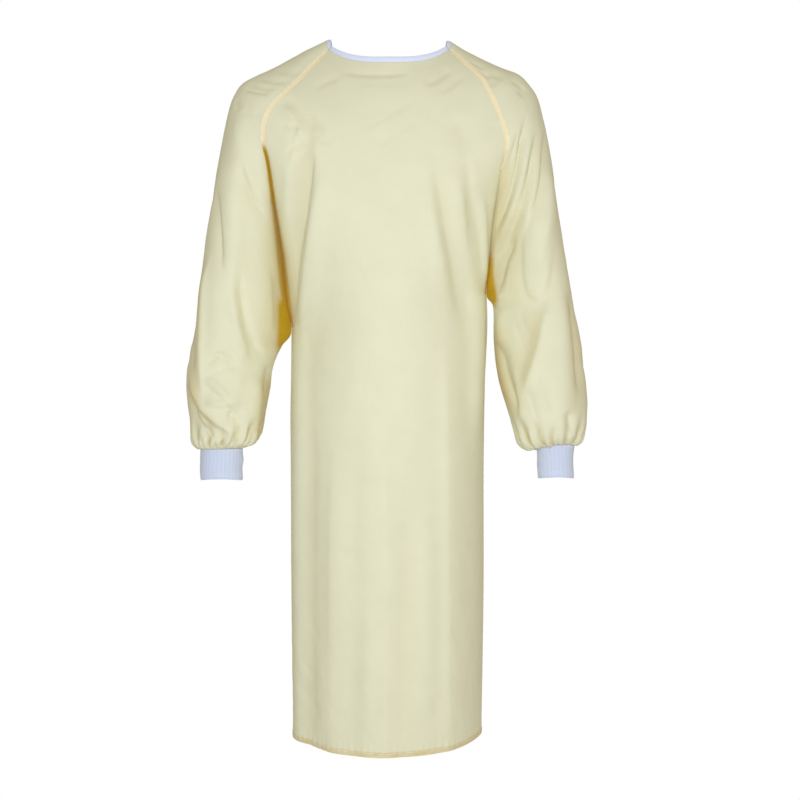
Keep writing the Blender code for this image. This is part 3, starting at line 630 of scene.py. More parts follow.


# %% [markdown]
# ## Where sleeve and body press together
#
# Below the raglan band the sleeve and the front are squeezed together by the lowered arm, and their seam
# sinks into a narrow valley. Light reaches it only after it has bounced between the yellow layers, which
# leaves it brown. That shade is painted: each panel notes how strongly a point lies in painted shade, and
# the finish mixes brown into its colour there.

# %% Armpit valleys
# The rows run down the seam: its height, and the valley's depth, width and painted shade there.
VALLEYS = {
    -1: (
        (-176, 0, 2, 0.0),
        (-200, 4, 2.4, 0.9),
        (-240, 6, 4, 0.9),
        (-290, 9, 6.5, 0.9),
        (-360, 11, 11, 0.95),
        (-410, 8, 12, 1.0),
        (-440, 3, 12, 1.0),
        (-455, 0, 12, 1.0),
        (-480, 0, 11, 1.0),
    ),
    1: (
        (-190, 0, 4, 0.0),
        (-230, 2, 4, 0.08),
        (-290, 4, 5, 0.16),
        (-350, 6, 6, 0.35),
        (-376, 4, 8, 1.0),
        (-390, 0, 10, 1.0),
        (-425, 0, 11, 1.0),
    ),
}


def sink_valley(panel, rows, heights, from_seam, side):
    """Move points back by depth * exp(-(distance / width) ^ 2) and paint shade on them, read at the seam's
    height.
    """
    table = np.array(VALLEYS[side], dtype=float)
    depth, width, tint = (np.interp(heights, table[::-1, 0], table[::-1, k])[:, None] for k in (1, 2, 3))
    panel.points[rows, :, 1] += depth * np.exp(-((from_seam[rows] / width) ** 2))
    # Painted shade: a strong core along the seam and a fainter halo round it.
    core = np.exp(-((from_seam[rows] / (1.15 * width)) ** 4))
    shade_halo = 0.4 * np.exp(-((from_seam[rows] / (2.8 * width)) ** 2))
    tint = tint * (heights[:, None] > table[-1, 0] - 1) * np.maximum(core, shade_halo)
    panel.hollow_and_painted_shade[rows] = np.maximum(panel.hollow_and_painted_shade[rows], tint)


# %% [markdown]
# ## Front
#
# The front is one panel from the neck to the hem. Its creases follow the photograph: a break of plane
# down each side of the chest, folds that run into the armpits, drag lines under the neck binding and long
# ridges down the skirt.

# %% Creases of the front, wearer's right (below 0) to left
FRONT_CREASES = (
    (((-156, -212), (-163, -260), (-168, -330)), 10, 3.0, 2.0, 0.0),
    (((-172, -100), (-142, -134), (-96, -172)), 13, -4.5, 1.8, -0.5),
    (((-131, -181), (-150, -192), (-172, -208)), 5, -2.2, 1.4, 0.4),
    (((-140, -163), (-158, -160), (-178, -154)), 4, -1.8, 1.4, 0.4),
    (((-126, -196), (-146, -214), (-166, -246)), 5, -2.2, 1.4, 0.4),
    (((-174, -118), (-152, -150), (-138, -190)), 7, 3.0, 1.5, 0.3),
    (((-134, -110), (-142, -230), (-158, -400)), (15, 20, 16), -5.0, 4.0, 0.0),
    (((-138, -146), (-152, -190), (-160, -240)), 9, 3.0, 1.8, 0.5),
    (((-119, -200), (-128, -262), (-140, -350)), 11, -8.0, 1.4, -0.75),
    (((-104, -212), (-118, -300), (-130, -400), (-136, -520)), 16, 10.5, 1.8, 0.3),
    (((-143, -300), (-152, -380), (-154, -470)), 10, -8.0, 1.8, -0.4),
    (((72, -190), (86, -285), (104, -370), (130, -510)), (13, 19, 19), -6.5, 1.9, 0.3),
    (((60, -240), (75, -330), (97, -460)), 15, 4.5, 2.0, 0.0),
    (((112, -225), (121, -330), (138, -470)), 14, 6.0, 2.0, -0.3),
    (((122, -175), (131, -250), (146, -340), (153, -450)), 12, -4.0, 1.9, -0.4),
    (((152, -262), (157, -340), (156, -430)), 6, 5.0, 2.0, 0.0),
    (((108, -140), (134, -215)), 17, -3.0, 2.0, 0.0),
    (((-12, -560), (-5, -800), (-6, -1300)), 24, 4.5, 1.6, -0.5),
    (((33, -600), (29, -860), (24, -1300)), 24, -3.5, 2.0, 0.3),
    (((-84, -620), (-90, -900), (-88, -1300)), 20, 4.0, 1.8, 0.4),
    (((-56, -600), (-55, -850), (-60, -1300)), 22, -2.8, 2.0, -0.3),
    (((92, -430), (93, -700), (97, -1300)), 22, 6.0, 1.6, 0.5),
    (((60, -700), (60, -1166)), 16, 3.0, 2.0, 0.0),
    (((-122, -560), (-126, -1300)), 14, -2.5, 1.6, -0.3),
    (((-140, -300), (-148, -600), (-148, -1500)), 14, 9.0, 2.4, 0.0),
    (((140, -280), (146, -430), (146, -700)), 14, 8.0, 2.4, 0.0),
    (((-108, -980), (-104, -1160)), 12, 2.0, 2.0, 0.0),
    (((-30, -930), (-34, -1166)), 12, 1.6, 2.0, 0.0),
    (((-86, -64), (-30, -73), (40, -70)), 7, -3.0, 1.6, 0.4),
    (((-60, -84), (-10, -90), (40, -86)), 9, -0.9, 1.8, 0.4),
    (((56, -92), (82, -80), (104, -60)), 7, -2.6, 1.6, 0.4),
    (((78, -108), (104, -90), (126, -68)), 7, -2.2, 1.6, 0.4),
    (((-124, -98), (-100, -84), (-74, -74)), 7, -1.6, 1.7, 0.4),
    (((-50, -176), (-6, -148), (44, -120)), 7, -1.0, 1.4, 0.5),
    (((-24, -200), (16, -172), (48, -152)), 7, -0.8, 1.4, 0.5),
    (((-124, -172), (-90, -196)), 7, -1.6, 1.4, 0.5),
    (((-150, -1060), (-124, -1100), (-108, -1120)), 6, -1.3, 1.4, 0.5),
    (((-148, -1020), (-128, -1048), (-112, -1060)), 6, -1.1, 1.4, 0.5),
    (((-134, -960), (-112, -990)), 6, -0.9, 1.4, 0.5),
    (((66, -1080), (84, -1112), (100, -1128)), 7, -1.1, 1.4, 0.5),
    (((40, -980), (56, -1020), (66, -1050)), 7, -0.9, 1.4, 0.5),
    (((96, -960), (112, -1000)), 6, -0.9, 1.4, 0.5),
)

# %% Front panel
front = Panel("front", body_grid(-1), (0, -1, 0))
front_hold = hold_edges(front)
creased(front, FRONT_CREASES, (1, 0, 0), (0, -1, 0), front_hold)
front.normals = front.find_normals()
uneven_cloth(front, front_hold, 11)
armhole = slice(UNDERARM, None)
front_first, front_last = walked_across(front)
sink_valley(front, armhole, front.points[armhole, 0, 2], front_first, -1)
sink_valley(front, armhole, front.points[armhole, -1, 2], front_last, 1)
front.normals = front.find_normals()
print(f"front: {front.points.shape[0]} rows of {front.points.shape[1]} points")

# %% Turned edges and puckers of the body
HEM_PROUD = 0.8
HEM_TINT = 0.2
PAINTED_HEM_SHADE = 0.3
HEM_RIPPLE = 0.9
OPEN_EDGE_TURN = 9.0
OPEN_EDGE_PROUD = 0.45
SEAM_PUCKER = 0.5
HELD_BY_SEAM = 5.0


def turned_edge(distance, width):
    """1 on the double cloth of a turned edge, stepping down to 0 where the turn ends."""
    return 1 - fade(distance, width - 0.6, width + 0.8)


def finish_body_panel(panel, seed, laps=False):
    """The hem's double cloth, ripples and painted shade, a back's turned open edge, and the puckers beside
    the seams.
    """
    from_first, from_last = walked_across(panel)
    walked, along = panel.thread_places()
    height = puckers(from_first, along, SEAM_PUCKER, seed)
    free = fade(from_first, 0.0, HELD_BY_SEAM)
    if not laps:
        height += puckers(from_last, along, SEAM_PUCKER, seed + 3)
        free = free * fade(from_last, 0.0, HELD_BY_SEAM)
    ripple = puckers(np.abs(along - HEM_TURN), walked, HEM_RIPPLE, seed + 6)
    panel.points += panel.normals * ((height + ripple) * free)[..., None]
    panel.normals = panel.find_normals()
    turned = turned_edge(along, HEM_TURN)
    panel.proud = HEM_PROUD * turned
    panel.double = HEM_TINT * turned
    if laps:
        edge = turned_edge(from_last, OPEN_EDGE_TURN)
        panel.proud = np.maximum(panel.proud, OPEN_EDGE_PROUD * edge)
        panel.double = np.maximum(panel.double, HEM_TINT * edge)
    # Painted shade on the turned hem, uneven along it like the shade of its puckers.
    painted_hem_shade = PAINTED_HEM_SHADE + 0.12 * soft_noise(walked, 4 * along, 9.0, seed + 9)
    painted_hem_shade += 0.16 * np.maximum(soft_noise(walked, 2 * along, 4.0, seed + 10), 0)
    panel.hollow_and_painted_shade = np.maximum(panel.hollow_and_painted_shade, turned * painted_hem_shade)


finish_body_panel(front, 21)

# %% [markdown]
# ## Back
#
# The back opens from neck to hem, and its open edges are turned and stitched. The right back laps over
# the left one. They could be two grids, but then their folds would not match where they lie on each
# other. So both are taken from one whole back, and the right one is lifted where it lies on top.

# %% Creases of the back
BACK_CREASES = (
    (((-124, -215), (-134, -330), (-142, -480)), 16, 8.0, 1.6, 0.4),
    (((128, -215), (136, -330), (142, -450)), 16, 8.0, 1.6, -0.4),
    (((-92, -250), (-104, -340), (-114, -440)), 13, -7.0, 1.5, -0.5),
    (((98, -240), (108, -320), (116, -420)), 13, -7.0, 1.5, 0.5),
    (((-60, -255), (-76, -350), (-90, -470)), 13, 3.5, 1.8, 0.3),
    (((58, -250), (78, -340), (90, -460)), 13, 3.5, 1.8, -0.3),
    (((-150, -160), (-118, -190), (-84, -205)), 10, -4.0, 1.4, 0.6),
    (((150, -150), (118, -185), (82, -200)), 10, -4.0, 1.4, -0.6),
    (((-118, -96), (-84, -104), (-50, -98)), 6, -2.2, 1.4, 0.5),
    (((112, -90), (86, -100), (56, -96)), 6, -2.2, 1.4, -0.5),
    (((-92, -480), (-98, -800), (-98, -1155)), 20, 8.0, 1.5, 0.5),
    (((104, -460), (107, -800), (106, -1155)), 20, 8.0, 1.5, -0.5),
    (((-58, -540), (-55, -800), (-54, -1165)), 20, -6.0, 1.6, -0.4),
    (((66, -540), (68, -820), (70, -1165)), 20, -6.0, 1.6, 0.4),
    (((-20, -600), (-18, -850), (-16, -1165)), 20, 4.5, 1.8, 0.3),
    (((26, -620), (28, -860), (30, -1165)), 18, 4.0, 1.8, -0.3),
    (((-128, -620), (-130, -1155)), 16, -4.0, 1.7, 0.4),
    (((134, -600), (134, -1155)), 16, -4.0, 1.7, -0.4),
    (((86, -900), (88, -1165)), 11, -2.5, 1.7, 0.4),
    (((-78, -960), (-76, -1165)), 11, -2.5, 1.7, -0.4),
    (((-40, -150), (-6, -128), (30, -134)), 7, -1.4, 1.5, 0.5),
    (((-120, -1040), (-98, -1080)), 6, -1.1, 1.4, 0.5),
    (((112, -1050), (90, -1090)), 6, -1.1, 1.4, -0.5),
)

# %% Whole back

whole_back = Panel("whole_back", body_grid(1), (0, 1, 0))
back_hold = hold_edges(whole_back)
creased(whole_back, BACK_CREASES, (1, 0, 0), (0, 1, 0), back_hold)
whole_back.normals = whole_back.find_normals()
uneven_cloth(whole_back, back_hold, 31)
whole_back.normals = whole_back.find_normals()

# %% Back panels
LAP_COLUMNS = 9
LAP_WIDTH = 62.0
LAP_GAP = 1.7
LAP_GAP_AT_NECK_AND_HEM = 4.2
LIFT_OVER = 55.0

past_middle = COLUMNS_BODY // 2 + LAP_COLUMNS
row_across, above_hem = whole_back.thread_places()
lap_start = row_across[:, past_middle, None] - LAP_WIDTH
below_neck = above_hem.max() - above_hem
near_ends = 1 - np.minimum(fade(above_hem, 14.0, 60.0), fade(below_neck, 14.0, 70.0))
stand_off = LAP_GAP + (LAP_GAP_AT_NECK_AND_HEM - LAP_GAP) * near_ends
lift = fade(row_across, lap_start - LIFT_OVER, lap_start - 6) * stand_off
over = whole_back.points + whole_back.normals * lift[..., None]
backs = {
    -1: Panel("back_right", over[:, : past_middle + 1].copy(), (0, 1, 0)),
    1: Panel("back_left", whole_back.points[:, ::-1][:, : past_middle + 1].copy(), (0, 1, 0)),
}
for side, back in backs.items():
    finish_body_panel(back, 51 + 9 * side, laps=True)
    print(f"{back.name}: {back.points.shape[0]} rows of {back.points.shape[1]} points")

# %% [markdown]
# ## Sleeves
#
# A raglan sleeve is an open arc over the shoulder down to the underarm and a closed tube from there to
# the cuff. The cloth at its end is wider than the cuff, so it is gathered: folds that start softly and
# crowd together at the cuff.

# %% Creases of the sleeves, measured outwards from the middle line
RIGHT_SLEEVE_FRONT = (
    (((244, -88), (222, -96), (192, -104)), 6, -3.0, 1.5, -0.5),
    (((236, -78), (206, -90), (178, -96)), 6, -2.2, 1.6, -0.4),
    (((222, -68), (190, -80), (158, -84)), 6, -2.6, 1.5, -0.5),
    (((190, -56), (160, -66), (134, -70)), 6, -1.8, 1.6, -0.5),
    (((254, -104), (246, -130)), 6, -2.2, 1.5, 0.0),
    (((238, -124), (222, -136), (206, -138)), 5, -1.6, 1.4, 0.4),
    (((240, -120), (246, -190), (240, -260)), 16, 4.5, 2.0, 0.0),
    (((247, -212), (228, -255), (200, -306)), 9, -6.5, 1.4, 0.6),
    (((226, -214), (210, -244), (196, -270)), 7, -2.5, 1.4, 0.6),
    (((285, -250), (278, -310), (268, -400)), 9, -7.0, 1.3, 0.6),
    (((262, -235), (254, -320), (250, -420)), 16, 5.0, 2.0, 0.0),
    (((293, -350), (301, -470), (303, -540), (298, -620)), 15, 10.5, 1.2, 0.6),
    (((317, -425), (320, -500), (316, -562)), 9, -8.0, 1.5, 0.5),
    (((326, -556), (303, -616), (273, -645), (246, -666)), 8, 10.0, 1.3, -0.5),
    (((324, -592), (304, -640), (280, -668)), 6, -8.5, 1.4, 0.4),
    (((312, -610), (298, -648), (290, -668)), 5, 6.0, 1.4, 0.0),
    (((297, -546), (276, -528), (245, -554)), 6, -6.5, 1.3, 0.5),
    (((302, -566), (277, -578), (258, -608)), 6, 4.5, 1.3, 0.5),
    (((298, -613), (268, -611), (240, -608)), 8, 6.0, 1.3, -0.5),
    (((298, -567), (276, -554), (236, -546)), 4, -3.0, 1.2, 0.5),
    (((300, -575), (262, -612), (248, -631)), 4, -3.2, 1.2, 0.5),
    (((262, -470), (246, -500), (238, -528)), 5, -2.6, 1.3, 0.5),
    (((264, -626), (238, -632)), 10, -8.5, 1.6, 0.0),
    (((244, -390), (234, -470), (206, -540)), 12, -7.5, 1.5, 0.6),
    (((258, -380), (252, -470), (226, -560)), 9, 3.5, 1.6, 0.0),
    (((252, -420), (245, -500), (240, -560)), 12, 4.5, 2.0, 0.0),
    (((200, -380), (197, -430), (196, -500)), 10, 3.5, 1.7, 0.4),
    (((214, -560), (216, -620), (222, -655)), 10, 5.0, 1.8, 0.4),
    (((200, -540), (206, -600)), 7, -4.5, 1.5, -0.4),
    (((271, -330), (271, -480), (268, -680)), (20, 30, 34), 6.0, 4.0, 0.0),
)
ROUND_ELBOW_FOLD = (
    (220, -290),
    (214, -360),
    (217, -410),
    (226, -436),
    (242, -446),
    (258, -436),
    (267, -408),
    (272, -340),
)
LEFT_SLEEVE_FRONT = (
    (((122, -48), (157, -71), (192, -62)), 6, -3.6, 1.4, 0.5),
    (((158, -94), (174, -82), (190, -64)), 6, -2.8, 1.5, 0.5),
    (((132, -42), (161, -58)), 5, -2.0, 1.4, 0.5),
    (((214, -104), (226, -84)), 6, -2.4, 1.4, 0.0),
    (((200, -78), (222, -86)), 6, -1.8, 1.4, 0.5),
    (((226, -130), (206, -230), (168, -345)), 8, -8.5, 1.4, 0.6),
    (((246, -150), (218, -270), (160, -400)), 9, -10.0, 1.4, 0.6),
    (((262, -140), (250, -250), (214, -350)), 9, -7.5, 1.4, 0.6),
    (((236, -150), (214, -250), (176, -350)), 9, 4.5, 1.8, 0.0),
    (((270, -200), (262, -300), (244, -380)), 12, 5.0, 1.8, 0.3),
    (((212, -160), (200, -205), (184, -250)), 6, -3.5, 1.4, 0.5),
    (((205, -326), (188, -378), (178, -432)), 11, -9.0, 1.8, -0.4),
    (ROUND_ELBOW_FOLD, 13, -5.5, 1.7, -0.4),
    (((243, -280), (243, -400)), 20, 7.0, 2.0, 0.0),
    (((260, -440), (244, -520), (214, -610)), 16, 6.5, 1.2, -0.5),
    (((236, -470), (220, -540), (200, -600)), 16, -6.0, 1.8, 0.0),
    (((300, -420), (309, -520), (313, -606)), 9, -7.0, 1.6, 0.4),
    (((180, -500), (195, -578), (219, -634)), 9, -10.0, 1.4, 0.5),
    (((200, -540), (214, -600), (227, -652)), 8, 5.5, 1.8, 0.0),
    (((240, -560), (264, -636)), 6, -5.0, 1.3, 0.5),
    (((228, -586), (245, -640)), 6, -2.8, 1.3, 0.5),
    (((250, -600), (259, -648)), 5, -2.0, 1.4, 0.4),
    (((213, -455), (227, -500)), 5, -2.2, 1.3, 0.5),
    (((205, -474), (222, -518)), 5, -2.0, 1.3, 0.5),
    (((289, -618), (303, -664)), 8, -6.5, 1.5, 0.0),
    (((192, -446), (186, -480), (186, -520)), 10, 5.5, 1.8, 0.0),
    (((276, -400), (270, -520), (260, -600), (260, -690)), (12, 26, 42, 46), 8.0, 4.0, 0.0),
)
SLEEVES_BACK = (
    (((262, -150), (234, -230), (202, -330)), 12, 7.0, 1.5, 0.4),
    (((286, -240), (262, -320), (226, -420)), 12, -8.5, 1.4, 0.5),
    (((250, -180), (226, -250), (196, -310)), 8, -5.5, 1.4, 0.5),
    (((298, -380), (272, -450), (238, -520)), 12, 7.0, 1.5, 0.5),
    (((302, -450), (274, -520), (234, -576)), 11, -9.0, 1.4, 0.5),
    (((308, -500), (288, -560), (250, -600)), 9, 5.0, 1.6, -0.4),
    (((306, -550), (280, -600), (240, -646)), 11, 7.0, 1.4, -0.5),
    (((312, -590), (292, -636), (262, -662)), 8, -6.0, 1.5, 0.4),
    (((220, -440), (219, -520), (223, -600)), 12, -6.0, 1.6, 0.4),
    (((236, -70), (206, -86), (176, -92)), 5, -2.2, 1.4, 0.5),
)
SLEEVES_OUTSIDE = (
    (((-40, -210), (-8, -300), (20, -420)), 14, -2.4, 1.6, 0.4),
    (((-30, -420), (-6, -480), (24, -520)), 12, -2.4, 1.6, 0.4),
    (((-36, -520), (-10, -560), (26, -600)), 12, -2.2, 1.6, 0.4),
)

# %% Gathers above a cuff
GATHER_COUNT = 14
GATHER_DEPTH = 4.0
GATHER_WANDER = 0.35
FINE_GATHERS = 25
FINE_GATHER_DEPTH = 4.0


def gather_heights(share, turns, seed):
    """Waves round the sleeve, GATHER_COUNT broad ones that end at the cuff and FINE_GATHERS close to it.

    share is the way down the gathered cloth, 0 to 1. A broad wave is depth * cos(pi count turn + wander).
    """
    deepening = fade(share, 0.05, 0.75) * (1 - fade(share, 0.85, 1.0))
    wander = GATHER_WANDER * np.sin(3 * math.pi * turns + 0.8)
    wave = np.cos(math.pi * GATHER_COUNT * turns + wander)
    unevenness = 0.75 + 0.25 * np.sin(2.3 * math.pi * turns + 1.7)
    broad = GATHER_DEPTH * deepening * wave * unevenness
    drift = 1.4 * soft_noise(turns * 100, share * 100 + 0 * turns, 22.0, seed)
    reach = 0.45 + 0.3 * soft_noise(turns * 100, 0 * turns, 9.0, seed + 1)
    near = fade(share, reach, 0.9) * (1 - fade(share, 0.96, 1.0))
    height = 0.55 + 0.45 * soft_noise(turns * 100, 0 * turns, 13.0, seed + 2)
    return broad + FINE_GATHER_DEPTH * near * height * np.cos(math.pi * FINE_GATHERS * turns + drift)


# %% Painted shade under the arms
PAINTED_SHADES = {
    -1: (
        (((172, -420), (171, -470), (175, -545)), 13, 1.4, 3.0, 0.0),
        (((178, -330), (188, -450), (200, -560)), 20, 0.3, 2.0, 0.0),
        (((204, -540), (204, -620), (220, -690)), 11, 0.45, 2.0, 0.0),
        (((330, -560), (304, -622), (262, -660)), 8, 0.22, 2.0, 0.3),
        (((306, -330), (316, -500), (316, -660)), 12, 0.22, 2.4, 0.3),
    ),
    1: (
        (((158, -340), (166, -400), (174, -460)), 10, 1.6, 3.0, 0.0),
        (((196, -180), (182, -280), (170, -400)), 12, 0.3, 2.0, 0.3),
        (((162, -450), (174, -560), (204, -650)), 15, 0.6, 2.0, 0.4),
        (((226, -250), (208, -360), (216, -440), (240, -462)), 16, 0.16, 2.0, -0.4),
        (((252, -440), (236, -520), (212, -600)), 17, 0.22, 1.6, -0.7),
        (((290, -400), (303, -520), (306, -640)), 15, 0.2, 1.6, 0.5),
    ),
}


def paint_shade_on_tube(sleeve, shades, side):
    """Paint shade on the cloth under the arm that lies in its shade, by lines like those of creases."""
    flat = np.stack([sleeve.points[..., 0] * side, sleeve.points[..., 2]], axis=-1).reshape(-1, 2)
    shade = crease_heights(flat, shades).reshape(sleeve.hollow_and_painted_shade.shape)
    # The painted shade lies only on the cloth that faces the front.
    front_facing = fade(-sleeve.normals[..., 1], -0.35, 0.0)
    sleeve.hollow_and_painted_shade = np.maximum(sleeve.hollow_and_painted_shade, np.clip(shade, 0, 1) * front_facing)


# %% Sleeve grids
def sleeve_grid(name, rows, side):
    """A sleeve's panel, with its rows' places in the table, its outline and its points' turns.

    The grid's rows run from the neck to the cuff, and its columns from the front seam round to the back one.
    """
    open_at = np.linspace(0, UNDERARM_ROW, ROWS_ARMHOLE + 1)
    forearm_at = np.linspace(UNDERARM_ROW, GATHERS_FROM_ROW, ROWS_FOREARM + 1)[1:]
    gathers_at = np.linspace(GATHERS_FROM_ROW, len(rows) - 1, ROWS_GATHERS + 1)[1:]
    at = np.concatenate([open_at, forearm_at, gathers_at])
    outline = sleeve_outline(rows, at)
    fine_turns = np.linspace(1, -1, FINE_STEPS + 1)
    spread_rows = [spread(row, COLUMNS_SLEEVE) for row in sleeve_arcs(outline, fine_turns)]
    points = np.array([row for row, share in spread_rows]) * [side, 1, 1]
    turns = np.array([1 - 2 * share for row, share in spread_rows])
    closed = np.arange(len(at)) >= ROWS_ARMHOLE
    centre = points.mean(axis=1, keepdims=True)
    sleeve = Panel(name, points, points - centre, closed)
    sleeve.normals = sleeve.find_normals()
    return sleeve, at, outline, turns


PAINTED_GATHER_SHADE_DEPTH = 6.0
MOST_PAINTED_GATHER_SHADE = 0.55
CUFF_TOP_LIFT = {-1: 0.0, 1: 6.0}


def gather_sleeve(sleeve, outline, turns, side, seed):
    """Gather the last rows into the cuff, lift the front of their edge and paint shade into their folds."""
    gathered = slice(ROWS_ARMHOLE + ROWS_FOREARM, None)
    heights = outline["outer_height"][gathered]
    share = ((heights - heights[0]) / (heights[-1] - heights[0]))[:, None]
    folds = gather_heights(share, turns[gathered], seed)
    sleeve.points[gathered] += sleeve.normals[gathered] * folds[..., None]
    front_share = 0.5 + 0.5 * np.sin(math.pi * turns[gathered])
    sleeve.points[gathered, :, 2] += CUFF_TOP_LIFT[side] * front_share * fade(share, 0.3, 1.0)
    # Painted shade: the deeper a gather's trough, the browner its colour, up to a limit.
    sleeve.hollow_and_painted_shade[gathered] = np.clip((-folds - 0.8) / PAINTED_GATHER_SHADE_DEPTH, 0, MOST_PAINTED_GATHER_SHADE)


# %% Sleeve panels
def make_sleeve(name, rows, side, front_creases, seed):
    """One sleeve with its creases, gathers, armpit valley, painted shade and puckers."""
    sleeve, at, outline, turns = sleeve_grid(name, rows, side)
    sewn = hold_edges(sleeve, top=0.0)
    below = fade(at, UNDERARM_ROW, UNDERARM_ROW + 1.2)[:, None]
    near_cuff = 1 - fade(at, len(rows) - 2.2, len(rows) - 1.4)[:, None]
    near_neck = fade(at, 0.0, 0.8)[:, None]
    hold = (sewn * (1 - below) + below) * near_cuff * near_neck
    creased(sleeve, front_creases, (side, 0, 0), (0, -1, 0), hold)
    creased(sleeve, SLEEVES_BACK, (side, 0, 0), (0, 1, 0), hold)
    creased(sleeve, SLEEVES_OUTSIDE, (0, 1, 0), (side, 0, 0), hold)
    sleeve.normals = sleeve.find_normals()
    uneven_cloth(sleeve, hold, seed)
    sleeve.normals = sleeve.find_normals()
    gather_sleeve(sleeve, outline, turns, side, seed + 5)

    from_first, from_last = walked_across(sleeve)
    armhole_rows = slice(0, ROWS_ARMHOLE + 1)
    sink_valley(sleeve, armhole_rows, sleeve.points[armhole_rows, 0, 2], from_first, side)
    paint_shade_on_tube(sleeve, PAINTED_SHADES[side], side)
    along = sleeve.thread_places()[1]
    height = puckers(from_first, along, SEAM_PUCKER, seed + 8)
    height += puckers(from_last, along, SEAM_PUCKER, seed + 8)
    free = fade(from_first, 0.0, HELD_BY_SEAM) * fade(from_last, 0.0, HELD_BY_SEAM) * near_cuff
    sleeve.points += sleeve.normals * (height * free)[..., None]
    sleeve.normals = sleeve.find_normals()
    end = sleeve.points[-1]
    sleeve.normals[-1] = unit((end - end.mean(axis=0)) * [1, 1, 0])
    print(f"{name}: {len(end)} points round its cuff end, {np.ptp(end[:, 0]):.0f} mm across")
    return sleeve


sleeves = {
    -1: make_sleeve("sleeve_right", SLEEVE_RIGHT, -1, RIGHT_SLEEVE_FRONT, 71),
    1: make_sleeve("sleeve_left", SLEEVE_LEFT, 1, LEFT_SLEEVE_FRONT, 91),
}

# %% [markdown]
# ## Sewing the panels
#
# The side seams are joined first and the raglan seams after them, as on the real gown. Where all of them
# meet at the underarm the side seam's direction is kept. The panels could be joined into one mesh, but
# the real gown's panels are pieces of their own, so their edges only stand a hair apart.

# %% Side and raglan seams
SIDE_SEAM_GAP = 0.06
THINNEST_AT_UNDERARM = 0.01
THIN_WITHIN, WHOLE_BEYOND = 10, 40

side_rows = np.arange(0, UNDERARM + 1)
raglan_rows = np.arange(UNDERARM, UNDERARM + ROWS_ARMHOLE + 1)
sleeve_rows = np.arange(ROWS_ARMHOLE, -1, -1)


def column(rows, number):
    """The points of one grid column at the given rows, as row and column numbers."""
    return rows, np.full(len(rows), number)


for side, edge, inside in ((-1, 0, 1), (1, -1, -2)):
    back, sleeve = backs[side], sleeves[side]
    front_edge, front_inside = column(side_rows, edge), column(side_rows, inside)
    sew(front, front_edge, front_inside, back, column(side_rows, 0), column(side_rows, 1), SIDE_SEAM_GAP)
    corners = ((front, UNDERARM, edge), (back, UNDERARM, 0), (sleeve, ROWS_ARMHOLE, 0))
    kept = [(panel.normals[row, number].copy(), panel.mitre[row, number]) for panel, row, number in corners]
    front_edge, front_inside = column(raglan_rows, edge), column(raglan_rows, inside)
    sew(front, front_edge, front_inside, sleeve, column(sleeve_rows, 0), column(sleeve_rows, 1))
    back_edge, back_inside = column(raglan_rows, 0), column(raglan_rows, 1)
    sew(back, back_edge, back_inside, sleeve, column(sleeve_rows, -1), column(sleeve_rows, -2))
    for (panel, row, number), (normal, mitre) in zip(corners, kept):
        panel.normals[row, number] = normal
        panel.mitre[row, number] = mitre
    sleeve.points[ROWS_ARMHOLE, -1] = sleeve.points[ROWS_ARMHOLE, 0]
    sleeve.normals[ROWS_ARMHOLE, -1] = sleeve.normals[ROWS_ARMHOLE, 0]
    sleeve.mitre[ROWS_ARMHOLE, -1] = sleeve.mitre[ROWS_ARMHOLE, 0]
    # Three walls meet at one point under the arm, so they thin towards it and stay clear of each other.
    for panel in (front, back, sleeve):
        away = np.linalg.norm(panel.points - sleeve.points[ROWS_ARMHOLE, 0], axis=2)
        whole = fade(away, THIN_WITHIN, WHOLE_BEYOND)
        panel.thickness *= THINNEST_AT_UNDERARM + (1 - THINNEST_AT_UNDERARM) * whole
    print(f"{back.name}: side seam of {len(side_rows)} points, raglan seams of {len(raglan_rows)} points")

# %% [markdown]
# ## Felled seams
#
# A felled seam folds one edge of cloth over the other and stitches both down, which shows outside as a
# narrow raised band of three layers. It looks lighter and warmer than single cloth, because no light
# passes through it. The band is made from the panels' own columns beside the seam, moved out.

# %% Raglan bands
BAND_COLUMNS = 3
BAND_THICKNESS = 0.9
BAND_CLEARANCE = 0.25
BAND_ROUNDING = 0.25
# Below the first height the band lies sunk in the armpit: shade is painted on it with the last number's
# strength and its cream fades. Above the second height not.
PAINTED_BAND_SHADE = {
    "seam_front_right": (-198, -182, 1.0),
    "seam_front_left": (-206, -192, 0.12),
}


